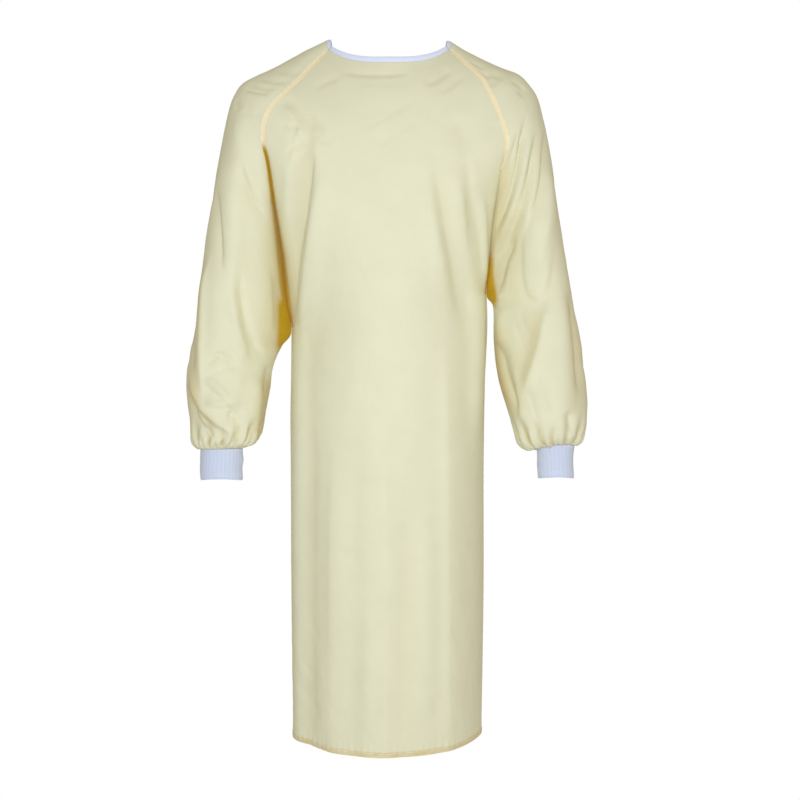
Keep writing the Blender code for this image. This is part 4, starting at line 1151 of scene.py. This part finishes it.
def make_band(name, panel, panel_edge, step, sleeve, sleeve_edge, sleeve_step, last_row):
    """The band over a raglan seam from the neck down to last_row above the underarm."""
    rows = np.arange(UNDERARM + ROWS_ARMHOLE, UNDERARM + last_row, -1)
    arm_rows = np.arange(0, ROWS_ARMHOLE - last_row)
    reach = BAND_COLUMNS
    body_side = [column(rows, panel_edge + step * k) for k in range(reach, 0, -1)]
    arm_side = [column(arm_rows, sleeve_edge + sleeve_step * k) for k in range(1, reach + 1)]
    on_panel, on_sleeve = column(rows, panel_edge), column(arm_rows, sleeve_edge)
    points = [panel.points[place] for place in body_side]
    points.append((panel.points[on_panel] + sleeve.points[on_sleeve]) / 2)
    points.extend(sleeve.points[place] for place in arm_side)
    out = [panel.normals[place] for place in (*body_side, on_panel)]
    out.extend(sleeve.normals[place] for place in arm_side)
    points, out = np.stack(points, axis=1), np.stack(out, axis=1)
    band = Panel(name, points, out)
    band.normals = out
    band.mitre[:, reach] = panel.mitre[on_panel]
    rounding = BAND_ROUNDING * np.cos(np.linspace(-math.pi / 2, math.pi / 2, 2 * reach + 1))
    band.proud[:] = BAND_CLEARANCE + BAND_THICKNESS - BAND_ROUNDING + rounding
    band.thickness[:] = -BAND_CLEARANCE
    band.double[:] = 1.0
    if name in PAINTED_BAND_SHADE:
        low, high, strength = PAINTED_BAND_SHADE[name]
        in_painted_shade = (1 - fade(points[:, reach, 2], low, high))[:, None]
        band.hollow_and_painted_shade[:] = strength * in_painted_shade
        band.double[:] = 1 - 0.8 * in_painted_shade
    # The band ends just below the neck edge, clear of the binding.
    band.points[0] += (band.points[1] - band.points[0]) * 0.5
    return band


WORDS = {-1: "right", 1: "left"}
BAND_LAST_ROW = {(-1, "front"): 30, (1, "front"): 38, (-1, "back"): 34, (1, "back"): 34}
bands = {}
for side, edge, step in ((-1, 0, 1), (1, -1, -1)):
    name = "seam_front_" + WORDS[side]
    last = BAND_LAST_ROW[side, "front"]
    bands[name] = make_band(name, front, edge, step, sleeves[side], 0, 1, last)
    name = "seam_back_" + WORDS[side]
    last = BAND_LAST_ROW[side, "back"]
    bands[name] = make_band(name, backs[side], 0, 1, sleeves[side], -1, -1, last)

# %% [markdown]
# ## Neck binding
#
# A white tape is folded over the raw neck edge and stitched through. It stands up at the front and back
# and leans inwards over the shoulders. It could be swept along a curve, but it has to meet every panel's
# own edge, so it is a panel that starts on their points. Its wall thins towards the top, which rounds the
# fold.

# %% Edges round the neck
def neck_chain():
    """The panels' top edges in order from the left back's free edge round the front to the right back's.

    Each is its panel with two rows of places, the edge and the row inside it.
    """
    chain = ((backs[1], True), (sleeves[1], True), (front, True), (sleeves[-1], False), (backs[-1], False))
    edges = []
    for panel, backwards in chain:
        row = 0 if panel.name.startswith("sleeve") else -1
        inside_row = 1 if row == 0 else -2
        numbers = np.arange(panel.points.shape[1])
        numbers = numbers[::-1] if backwards else numbers
        edge = (np.full(len(numbers), row), numbers)
        inside = (np.full(len(numbers), inside_row), numbers)
        edges.append((panel, edge, inside))
    return edges


neck_edges = neck_chain()
lower = [panel.points[edge][1:] for panel, edge, inside in neck_edges]
first_panel, first_edge = neck_edges[0][:2]
lower = np.vstack([first_panel.points[first_edge][:1], *lower])
print(f"neck edge: {lengths_along(lower)[-1]:.0f} mm round")

# %% Binding round the neck
BINDING_HEIGHT = 9.0
BINDING_RISE_AT_SHOULDER = 2.5
BINDING_THICKNESS = 2.0
BINDING_PROUD = 0.5
BINDING_ROWS = 9
BINDING_SWELL = 0.25
THINNED_AT_FOLD = 0.9

inwards = unit(lower * [-1, -1, 0])
steepness = fade(np.abs(lower[:, 1]), 4, 34)
up = BINDING_RISE_AT_SHOULDER + (BINDING_HEIGHT - BINDING_RISE_AT_SHOULDER) * steepness
lean = np.sqrt(np.maximum(BINDING_HEIGHT**2 - up**2, 0))
rise = np.outer(up, [0, 0, 1]) + inwards * lean[:, None]
shares = np.linspace(0, 1, BINDING_ROWS)
binding_grid = lower[None] + rise[None] * shares[:, None, None]
binding = Panel("neck_binding", binding_grid, lower * [1, 1, 0] + [0, 0, BINDING_HEIGHT])
first = 0
for panel, edge, inside in neck_edges:
    numbers = np.arange(first, first + len(edge[0]))
    under = (np.zeros(len(numbers), dtype=int), numbers)
    above = (np.ones(len(numbers), dtype=int), numbers)
    sew(panel, edge, inside, binding, under, above)
    first += len(numbers) - 1
edge_fold = np.sqrt(np.clip(1 - shares**6, 0, 1))[:, None]
walked = lengths_along(lower)
swell = BINDING_SWELL * soft_noise(walked, 0 * walked, 17.0, 5) * np.sin(math.pi * shares)[:, None]
rounded = 0.3 + 0.7 * np.sin(math.pi * np.minimum(shares + 0.12, 1))
binding.proud[:] = BINDING_PROUD * rounded[:, None] + swell
binding.proud -= (1 - edge_fold) * THINNED_AT_FOLD
binding.thickness[:] = BINDING_THICKNESS - (1 - edge_fold) * THINNED_AT_FOLD

# %% [markdown]
# ## Cuffs
#
# The cuffs are tubes of ribbed knit, doubled at the wrist. Ribs run along the arm. They could be painted
# as bump, but they also show on the cuff's edge, so they are in the mesh: the outside swings in and out
# by a rounded wave.

# %% Knitted cuffs
CUFF_COLUMNS = ("height", "outer", "inner", "front", "back")
CUFF_RIGHT = (
    (-683, 312, 243, 29, 29),
    (-700, 313, 244, 29, 29),
    (-720, 313, 244, 28, 28),
    (-736, 312, 243, 27, 27),
)
CUFF_LEFT = (
    (-682, 308, 246, 28, 28),
    (-695, 306, 247, 27, 27),
    (-715, 306, 247, 26, 26),
    (-733, 307, 248, 26, 26),
)
CUFF_MIDDLE = -31.0
CUFF_GAP = 0.3
CUFF_BOTTOM_HOLLOW = 2.5
CUFF_WALL = 2.0
CUFF_PROUD = 0.3
CUFF_DENT = 0.7
CUFF_BUMP = 2.6
RIB_COUNT = 56
RIB_HEIGHT = 0.3
POINTS_PER_RIB = 6
CUFF_ROWS = 40
ROLL = 1.6


def make_cuff(name, rows, side, bump_angle, seed):
    """A ribbed tube through the table's sections, with a few soft dents and one bump.

    A rib swings the outside out by RIB_HEIGHT * |sin(angle * RIB_COUNT / 2)| ^ 0.6, which is round on top
    and narrow in its groove. The lower edge rolls inwards as a quarter circle.
    """
    table = table_columns(CUFF_COLUMNS, rows)
    heights = np.linspace(rows[0][0] - CUFF_GAP, rows[-1][0], CUFF_ROWS)
    section = {key: smooth_through(table["height"], table[key], heights)[:, None] for key in CUFF_COLUMNS}
    angles = np.linspace(0, 2 * math.pi, RIB_COUNT * POINTS_PER_RIB + 1)[None]
    down = (np.arange(CUFF_ROWS) / (CUFF_ROWS - 1))[:, None]
    half = (section["outer"] - section["inner"]) / 2
    depth = np.where(np.sin(angles) < 0, section["front"], section["back"])
    hollow_and_painted_shade = CUFF_BOTTOM_HOLLOW * np.sin(angles) ** 2 * fade(down, 0.6, 1.0)
    hollow_and_painted_shade = hollow_and_painted_shade + CUFF_TOP_LIFT[side] * (0.5 - 0.5 * np.sin(angles)) * (1 - fade(down, 0.0, 0.5))
    across = ((section["outer"] + section["inner"]) / 2 + half * np.cos(angles)) * side
    forward = CUFF_MIDDLE + depth * np.sin(angles)
    points = np.stack([across, forward, section["height"] + hollow_and_painted_shade], axis=-1)
    closed = np.ones(CUFF_ROWS, dtype=bool)
    centre = points.mean(axis=1, keepdims=True)
    cuff = Panel(name, points, points - centre, closed)
    waver = 0.8 * soft_noise(angles * 12, down * 40, 11.0, seed)
    rib = np.abs(np.sin(angles * RIB_COUNT / 2 + waver * 0.25 * np.sin(math.pi * down))) ** 0.6
    soft = CUFF_DENT * soft_noise(angles * 9, down * 22, 9.0, seed + 1) * np.sin(math.pi * down)
    bump = CUFF_BUMP * np.exp(-(((angles - bump_angle) / 0.32) ** 2) - ((down - 0.36) / 0.16) ** 2)
    flat_ends = fade(down, 0.0, 0.08) * (1 - 0.6 * fade(down, 0.94, 1.0))
    cuff.points += cuff.normals * ((soft + bump) * fade(down, 0.0, 0.15))[..., None]
    cuff.normals = cuff.find_normals()
    cuff.normals[0] = unit(cuff.normals[0] * [1, 1, 0])
    roll = ROLL * 0.5 * (1 - np.sqrt(np.clip(1 - fade(down, 0.93, 1.0) ** 2, 0, 1)))
    cuff.proud = CUFF_PROUD + RIB_HEIGHT * rib * flat_ends - roll
    cuff.thickness = CUFF_WALL - roll + 0 * angles
    print(f"{name}: {RIB_COUNT} ribs, {lengths_along(cuff.points[0])[-1] / RIB_COUNT:.1f} mm apart")
    return cuff


cuffs = {
    -1: make_cuff("cuff_right", CUFF_RIGHT, -1, math.pi, 3),
    1: make_cuff("cuff_left", CUFF_LEFT, 1, 2.2, 8),
}

# %% [markdown]
# ## Stitches
#
# Each stitch is a short plump thread. The rows could be painted as bump, but a lockstitch stands proud
# and catches light. So a stitch row is one small mesh copied along a line by arrays: a four-sided spindle
# with four rings, turned to the line's direction and lifted just clear of the cloth.

# %% One row of stitches
STITCH_PITCH = 3.0
STITCH_LENGTH = 2.3
STITCH_WIDTH = 0.55
STITCH_LIFT = 0.44
STITCH_FLATNESS = 0.7
RING_PLACES = (-1.0, -0.6, 0.6, 1.0)
RING_SIZES = (0.35, 1.0, 1.0, 0.35)
STITCH_POINTS = 16


def read_along(lengths, values, at):
    """Vectors that stand at the given lengths along a path, read at other lengths."""
    return np.column_stack([np.interp(at, lengths, values[:, k]) for k in range(3)])


def stitch_row(path, out):
    """Points and quads of one row.

    A point is centre + along * place * length / 2 + (across * cos + lifted * sin * flatness) * radius.
    """
    lengths = lengths_along(path)
    count = int(lengths[-1] / STITCH_PITCH)
    at = (np.arange(count) + 0.5) * STITCH_PITCH
    centre = read_along(lengths, path, at)
    along = unit(read_along(lengths, np.gradient(path, axis=0), at))
    lifted = unit(read_along(lengths, out, at))
    across = unit(np.cross(along, lifted))
    lifted = np.cross(across, along)
    angles = np.radians([45, 135, 225, 315])
    places = np.array(RING_PLACES)[:, None, None] * STITCH_LENGTH / 2
    sizes = np.array(RING_SIZES)[:, None, None] * STITCH_WIDTH / 2
    cos, sin = np.cos(angles)[None, :, None], np.sin(angles)[None, :, None]
    lift = centre[:, None, None] + lifted[:, None, None] * STITCH_LIFT
    ring = across[:, None, None] * cos * sizes + lifted[:, None, None] * sin * sizes * STITCH_FLATNESS
    points = (lift + along[:, None, None] * places + ring).reshape(-1, 3)
    ids = np.arange(STITCH_POINTS).reshape(4, 4)
    around = np.concatenate([ids, ids[:, :1]], axis=1)
    one = np.concatenate([quads_of(around), ids[:1, ::-1], ids[-1:]])
    quads = (one[None] + STITCH_POINTS * np.arange(count)[:, None, None]).reshape(-1, 4)
    return points, quads


def stitches(name, rows):
    """Several stitch rows joined into one piece."""
    points, quads, first = [], [], 0
    for path, out in rows:
        row_points, row_quads = stitch_row(path, out)
        points.append(row_points)
        quads.append(row_quads + first)
        first += len(row_points)
    piece = add_mesh(name, np.concatenate(points), np.concatenate(quads))
    print(f"{name}: {first // STITCH_POINTS} stitches")
    return piece


# %% Where the rows run
STITCHED_BELOW_TURN = 2.0


def outside_of(panel, rows, columns):
    """Points on a panel's outer skin and its directions there."""
    out = panel.normals[rows, columns]
    proud = (panel.mitre * panel.proud)[rows, columns]
    return panel.points[rows, columns] + out * proud[..., None], out


def hem_row(panel):
    """The stitch line near the upper edge of the turned hem."""
    along = panel.thread_places()[1][:, 0]
    row = int(np.argmin(np.abs(along - (HEM_TURN - STITCHED_BELOW_TURN))))
    return outside_of(panel, row, slice(2, -2))


def open_edge_row(back):
    """The stitch line beside the turned open edge of a back."""
    from_edge = np.median(walked_across(back)[1], axis=0)
    number = int(np.argmin(np.abs(from_edge - (OPEN_EDGE_TURN - STITCHED_BELOW_TURN))))
    return outside_of(back, slice(2, -2), number)


stitch_pieces = {
    "stitches_open_edge": stitches("stitches_open_edge", [open_edge_row(backs[-1])]),
    "stitches_hem_front": stitches("stitches_hem_front", [hem_row(front)]),
    "stitches_hem_right": stitches("stitches_hem_right", [hem_row(backs[-1])]),
    "stitches_hem_left": stitches("stitches_hem_left", [hem_row(backs[1])]),
    "stitches_neck": stitches("stitches_neck", [outside_of(binding, 2, slice(2, -2))]),
}
for name, band in bands.items():
    lit = np.flatnonzero(band.double[:, 0] > 0.8)[1:]
    rows = [outside_of(band, lit, number) for number in (1, 2 * BAND_COLUMNS - 1)]
    stitch_pieces["stitches_" + name] = stitches("stitches_" + name, rows)
for side, cuff in cuffs.items():
    name = "stitches_cuff_" + WORDS[side]
    rows = [outside_of(cuff, number, slice(None)) for number in (2, CUFF_ROWS - 9, CUFF_ROWS - 6)]
    stitch_pieces[name] = stitches(name, rows)

# %% [markdown]
# ## Walls
#
# Every panel is finished now, so each becomes a closed wall of its own. The pieces stay apart, as the
# real panels do until they are sewn, so each can stand for its solid.

# %% Walls of all the panels
pieces = {panel.name: wall(panel) for panel in (front, *backs.values(), *sleeves.values())}
pieces.update({name: wall(band) for name, band in bands.items()})
pieces.update({cuff.name: wall(cuff) for cuff in cuffs.values()})
pieces[binding.name] = wall(binding)
print(f"{len(pieces)} pieces of cloth, {sum(len(piece.data.polygons) for piece in pieces.values())} quads")

# %% [markdown]
# ## Finishes
#
# The gown is a light polyester and cotton plain weave, dyed pale yellow in the piece. Such cloth is matt
# with a faint sheen at grazing angles. Its threads are about 0.3 mm apart, too fine to show, so the weave
# is drawn 2.4 mm apart, as the faintest of bumps. Where the cloth lies double or treble no light passes
# through, and it looks creamier. Shade in the creases, under the arms, in the gathers and on the hem is
# painted into the colour as brown.
#
# The colours could be painted on the mesh. Node materials keep them even at any distance, and every
# pattern's scale comes from millimetres on the cloth.

# %% Colours and nodes
def linear(hex_code, alpha=1.0):
    """An sRGB hex colour as the linear values that Blender's sockets take."""
    values = [int(hex_code[k : k + 2], 16) / 255 for k in (1, 3, 5)]
    return (*[v / 12.92 if v <= 0.04045 else ((v + 0.055) / 1.055) ** 2.4 for v in values], alpha)


def add_node(owner, kind, links=(), **settings):
    """Add a node to a material or world and link it by (input, other node, its output).

    Settings are the node's own properties, or its inputs by number as i0, i1.
    """
    node = owner.node_tree.nodes.new(kind)
    for key, value in settings.items():
        if key[0] == "i" and key[1:].isdigit():
            node.inputs[int(key[1:])].default_value = value
        else:
            setattr(node, key, value)
    for target, other, output in links:
        owner.node_tree.links.new(other.outputs[output], node.inputs[target])
    return node


def band_scale(pitch_mm):
    """The wave texture's scale for bands so far apart. At scale 1 they lie 2 pi / 20 metres apart."""
    return 2 * math.pi / 20 / (pitch_mm / 1000)


def new_material(name, roughness, sheen, ior=1.5):
    """An empty cloth material and its shader. Fibres of polyester and cotton bend light by 1.5 to 1.6."""
    material = bpy.data.materials.new(name)
    material.use_nodes = True
    shader = material.node_tree.nodes["Principled BSDF"]
    shader.inputs["Roughness"].default_value = roughness
    shader.inputs["IOR"].default_value = ior
    shader.inputs["Specular IOR Level"].default_value = 0.25
    shader.inputs["Sheen Weight"].default_value = sheen
    shader.inputs["Sheen Roughness"].default_value = 0.5
    return material, shader


# %% Plain weave
# Real threads lie 0.3 mm apart. They are drawn coarser, because finer ones only flicker in a picture.
WEAVE_MM = 2.369
# Piece dyeing leaves faint clouds, and spun yarn has slubs, thicker places some millimetres long.
MOTTLE_MM = 34.0
SLUB_MM = 5.0
BUMP_METRES = 0.0003


def plain_weave(name, single, double, shaded, roughness=0.82, sheen=0.1):
    """Polyester and cotton plain weave, coloured by dyeing the whole piece: matt, faintly mottled, creamier
    where double, and browner where shade is painted.
    """
    material, shader = new_material(name, roughness, sheen)
    place = add_node(material, "ShaderNodeUVMap", uv_map="cloth")
    solid_place = add_node(material, "ShaderNodeTexCoord")
    mottle = add_node(
        material, "ShaderNodeTexNoise", [(0, solid_place, "Object")], i2=1000 / MOTTLE_MM, i3=3.0
    )
    uneven = add_node(
        material, "ShaderNodeMapRange", [(0, mottle, 0)], i1=0.3, i2=0.7, i3=0.985, i4=1.015
    )
    doubled = add_node(material, "ShaderNodeAttribute", attribute_name="double")
    cloth = add_node(
        material,
        "ShaderNodeMix",
        [(0, doubled, "Fac")],
        data_type="RGBA",
        i6=linear(single),
        i7=linear(double),
    )
    # Painted shade: brown is mixed into the colour where a panel marks shade.
    hollow_and_painted_shade = add_node(material, "ShaderNodeAttribute", attribute_name="hollow_and_painted_shade")
    painted_shade_mix = add_node(
        material, "ShaderNodeMix", [(0, hollow_and_painted_shade, "Fac"), (6, cloth, 2)], data_type="RGBA", i7=linear(shaded)
    )
    dyed_with_painted_shade = add_node(material, "ShaderNodeVectorMath", [(0, painted_shade_mix, 2), (3, uneven, 0)], operation="SCALE")
    scale = band_scale(WEAVE_MM)
    warp = add_node(material, "ShaderNodeTexWave", [(0, place, 0)], bands_direction="X", i1=scale, i2=0.6)
    weft = add_node(material, "ShaderNodeTexWave", [(0, place, 0)], bands_direction="Y", i1=scale, i2=0.6)
    threads = add_node(material, "ShaderNodeMath", [(0, warp, 1), (1, weft, 1)], operation="ADD")
    slubs = add_node(material, "ShaderNodeTexNoise", [(0, place, 0)], i2=1000 / SLUB_MM, i3=2.0)
    relief = add_node(material, "ShaderNodeMath", [(0, threads, 0), (1, slubs, 0)], operation="ADD")
    bump = add_node(material, "ShaderNodeBump", [(2, relief, 0)], i0=0.12, i1=BUMP_METRES)
    material.node_tree.links.new(dyed_with_painted_shade.outputs[0], shader.inputs["Base Color"])
    material.node_tree.links.new(bump.outputs[0], shader.inputs["Normal"])
    return material


# %% Knit and tape
# The ribs are in the mesh. The knit's stripe of painted shade is twice as wide as a rib and wavers like an
# uneven stretch.
KNIT_MM = 6.711
# The slanted lines of a twill tape lie 0.5 mm apart. They are drawn coarser, because finer ones don't show.
TAPE_MM = 2.171


def knit_or_tape(name, colour, shade, direction, pitch_mm, roughness, strength):
    """Bleached cotton knit or twill tape: pale yarn with shade painted, faintly greyer, in the hollows
    between its lines.
    """
    material, shader = new_material(name, roughness, 0.2)
    place = add_node(material, "ShaderNodeUVMap", uv_map="cloth")
    lines = add_node(
        material,
        "ShaderNodeTexWave",
        [(0, place, 0)],
        bands_direction=direction,
        i1=band_scale(pitch_mm),
        i2=1.5,
        i3=2.0,
    )
    # Painted shade: the greyer colour lies in the hollows between the lines.
    tint = add_node(
        material, "ShaderNodeMix", [(0, lines, 1)], data_type="RGBA", i6=linear(shade), i7=linear(colour)
    )
    bump = add_node(material, "ShaderNodeBump", [(2, lines, 1)], i0=strength, i1=BUMP_METRES)
    material.node_tree.links.new(tint.outputs[2], shader.inputs["Base Color"])
    material.node_tree.links.new(bump.outputs[0], shader.inputs["Normal"])
    return material


# %% Thread
TWISTS_PER_METRE = 900.0


def thread(name, colour):
    """Spun polyester sewing thread, smoother than the cloth, so it catches a little more light."""
    material, shader = new_material(name, 0.55, 0.3)
    place = add_node(material, "ShaderNodeTexCoord")
    twist = add_node(material, "ShaderNodeTexNoise", [(0, place, "Object")], i2=TWISTS_PER_METRE, i3=1.0)
    tint = add_node(
        material, "ShaderNodeMix", [(0, twist, 0)], data_type="RGBA", i6=linear(colour), i7=linear("#ffffff")
    )
    material.node_tree.links.new(tint.outputs[2], shader.inputs["Base Color"])
    return material


# %% The gown's materials
YELLOW = "#e6e5c7"
CREAM = "#faecc4"
# Brown for the shade painted into creases, the armpit valleys, the gathers and the hem.
PAINTED_SHADE_BROWN = "#c49e18"
yellow_weave = plain_weave("polyester_cotton_plain_weave", YELLOW, CREAM, PAINTED_SHADE_BROWN)
# The second colour of the tape and of the knit is painted shade between their lines.
white_tape = knit_or_tape("cotton_twill_tape", "#e6ecff", "#dae2fc", "DIAGONAL", TAPE_MM, 0.8, 0.15)
white_knit = knit_or_tape("cotton_rib_knit", "#d3dcf2", "#cdd7ee", "X", KNIT_MM, 0.9, 0.2)
cream_thread = thread("cream_polyester_thread", "#f6e2b8")
white_thread = thread("white_polyester_thread", "#e6eaf6")
for material in (yellow_weave, white_tape, white_knit, cream_thread, white_thread):
    print(f"{material.name}: {len(material.node_tree.nodes)} nodes")

# %% Dress the pieces
for name, piece in pieces.items():
    if name.startswith("cuff"):
        piece.data.materials.append(white_knit)
    elif name == "neck_binding":
        piece.data.materials.append(white_tape)
    else:
        piece.data.materials.append(yellow_weave)
for name, piece in stitch_pieces.items():
    white = name.startswith(("stitches_cuff", "stitches_neck"))
    piece.data.materials.append(white_thread if white else cream_thread)
print(f"{len(pieces) + len(stitch_pieces)} pieces are dressed")

# %% [markdown]
# ## Handing the pieces to the frame
#
# Each panel stands for its solid and rides on the one body, and the area of its cloth is printed. A
# sleeve is cut wider than the arm, and its width is spread round the tube.

# %% Pieces, their solids and their areas
for name, piece in pieces.items():
    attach(piece, "root")
    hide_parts(name)

for name, piece in stitch_pieces.items():
    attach(piece, "root")


def area_of(piece):
    """Half of a closed wall's surface, in square metres."""
    faces = np.zeros(len(piece.data.polygons))
    piece.data.polygons.foreach_get("area", faces)
    return faces.sum() / 2


for name, piece in pieces.items():
    print(f"{name}: {area_of(piece):.3f} square metres")

# %% [markdown]
# ## Floor and light
#
# The photograph is lit from the front by large soft lights at the height of the chest: the cloth is
# brightest where it faces the camera, and the shoulders and the sides fall off. A white world seen by the
# camera gives the plain background, and lights the gown more dimly than it looks.

# %% Floor
FLOOR_HEIGHT = -1.45
FLOOR_RADIUS = 0.6
FLOOR_THICKNESS = 0.02

below = (0, 0, FLOOR_HEIGHT - FLOOR_THICKNESS / 2)
bpy.ops.mesh.primitive_cylinder_add(vertices=96, radius=FLOOR_RADIUS, depth=FLOOR_THICKNESS, location=below)
floor = bpy.context.object
floor.name = "floor"
floor_paint = bpy.data.materials.new("matt_white_floor")
floor_paint.use_nodes = True
paint = floor_paint.node_tree.nodes["Principled BSDF"]
paint.inputs["Base Color"].default_value = linear("#f2f2f0")
paint.inputs["Roughness"].default_value = 0.9
floor.data.materials.append(floor_paint)
print(f"floor: {FLOOR_HEIGHT} m, below the picture")

# %% World and lights
WORLD_SEEN = 1.0
WORLD_LIGHT = 0.44


def make_world():
    """A white world for the camera that lights the gown with WORLD_LIGHT only."""
    world = bpy.data.worlds.new("studio")
    world.use_nodes = True
    light = add_node(world, "ShaderNodeBackground", i0=linear("#fff2d6"), i1=WORLD_LIGHT)
    seen = add_node(world, "ShaderNodeBackground", i0=linear("#ffffff"), i1=WORLD_SEEN)
    path = add_node(world, "ShaderNodeLightPath")
    mix = add_node(world, "ShaderNodeMixShader", [(0, path, "Is Camera Ray"), (1, light, 0), (2, seen, 0)])
    world.node_tree.links.new(mix.outputs[0], world.node_tree.nodes["World Output"].inputs["Surface"])
    bpy.context.scene.world = world


def add_softbox(name, place, target, width, height, watts, colour, spread_degrees=180):
    """A rectangular area light that faces a target."""
    data = bpy.data.lights.new(name, "AREA")
    data.shape = "RECTANGLE"
    data.size = width
    data.size_y = height
    data.energy = watts
    data.color = linear(colour)[:3]
    data.spread = math.radians(spread_degrees)
    light = bpy.data.objects.new(name, data)
    light.location = place
    away = np.array(target, dtype=float) - np.array(place, dtype=float)
    light.rotation_euler = (
        math.atan2(math.hypot(away[0], away[1]), -away[2]),
        0.0,
        math.atan2(away[1], away[0]) - math.pi / 2,
    )
    bpy.context.scene.collection.objects.link(light)
    print(f"{name}: {watts} W, {width} by {height} m")


make_world()
add_softbox("softbox_front", (0.0, -2.7, -0.42), (0, 0, -0.42), 0.9, 0.7, 19.8, "#e3edff", 120)
add_softbox("softbox_left", (-2.5, -1.5, -0.6), (0, 0, -0.5), 1.0, 1.3, 2.5, "#e0f0ff")
add_softbox("softbox_right", (2.5, -1.5, -0.6), (0, 0, -0.5), 1.0, 1.3, 5, "#fff6ea")
add_softbox("softbox_back", (0.0, 3.2, 0.3), (0, 0, -0.6), 2.2, 1.8, 75, "#eef2ff")
bpy.context.scene.view_settings.view_transform = "Standard"
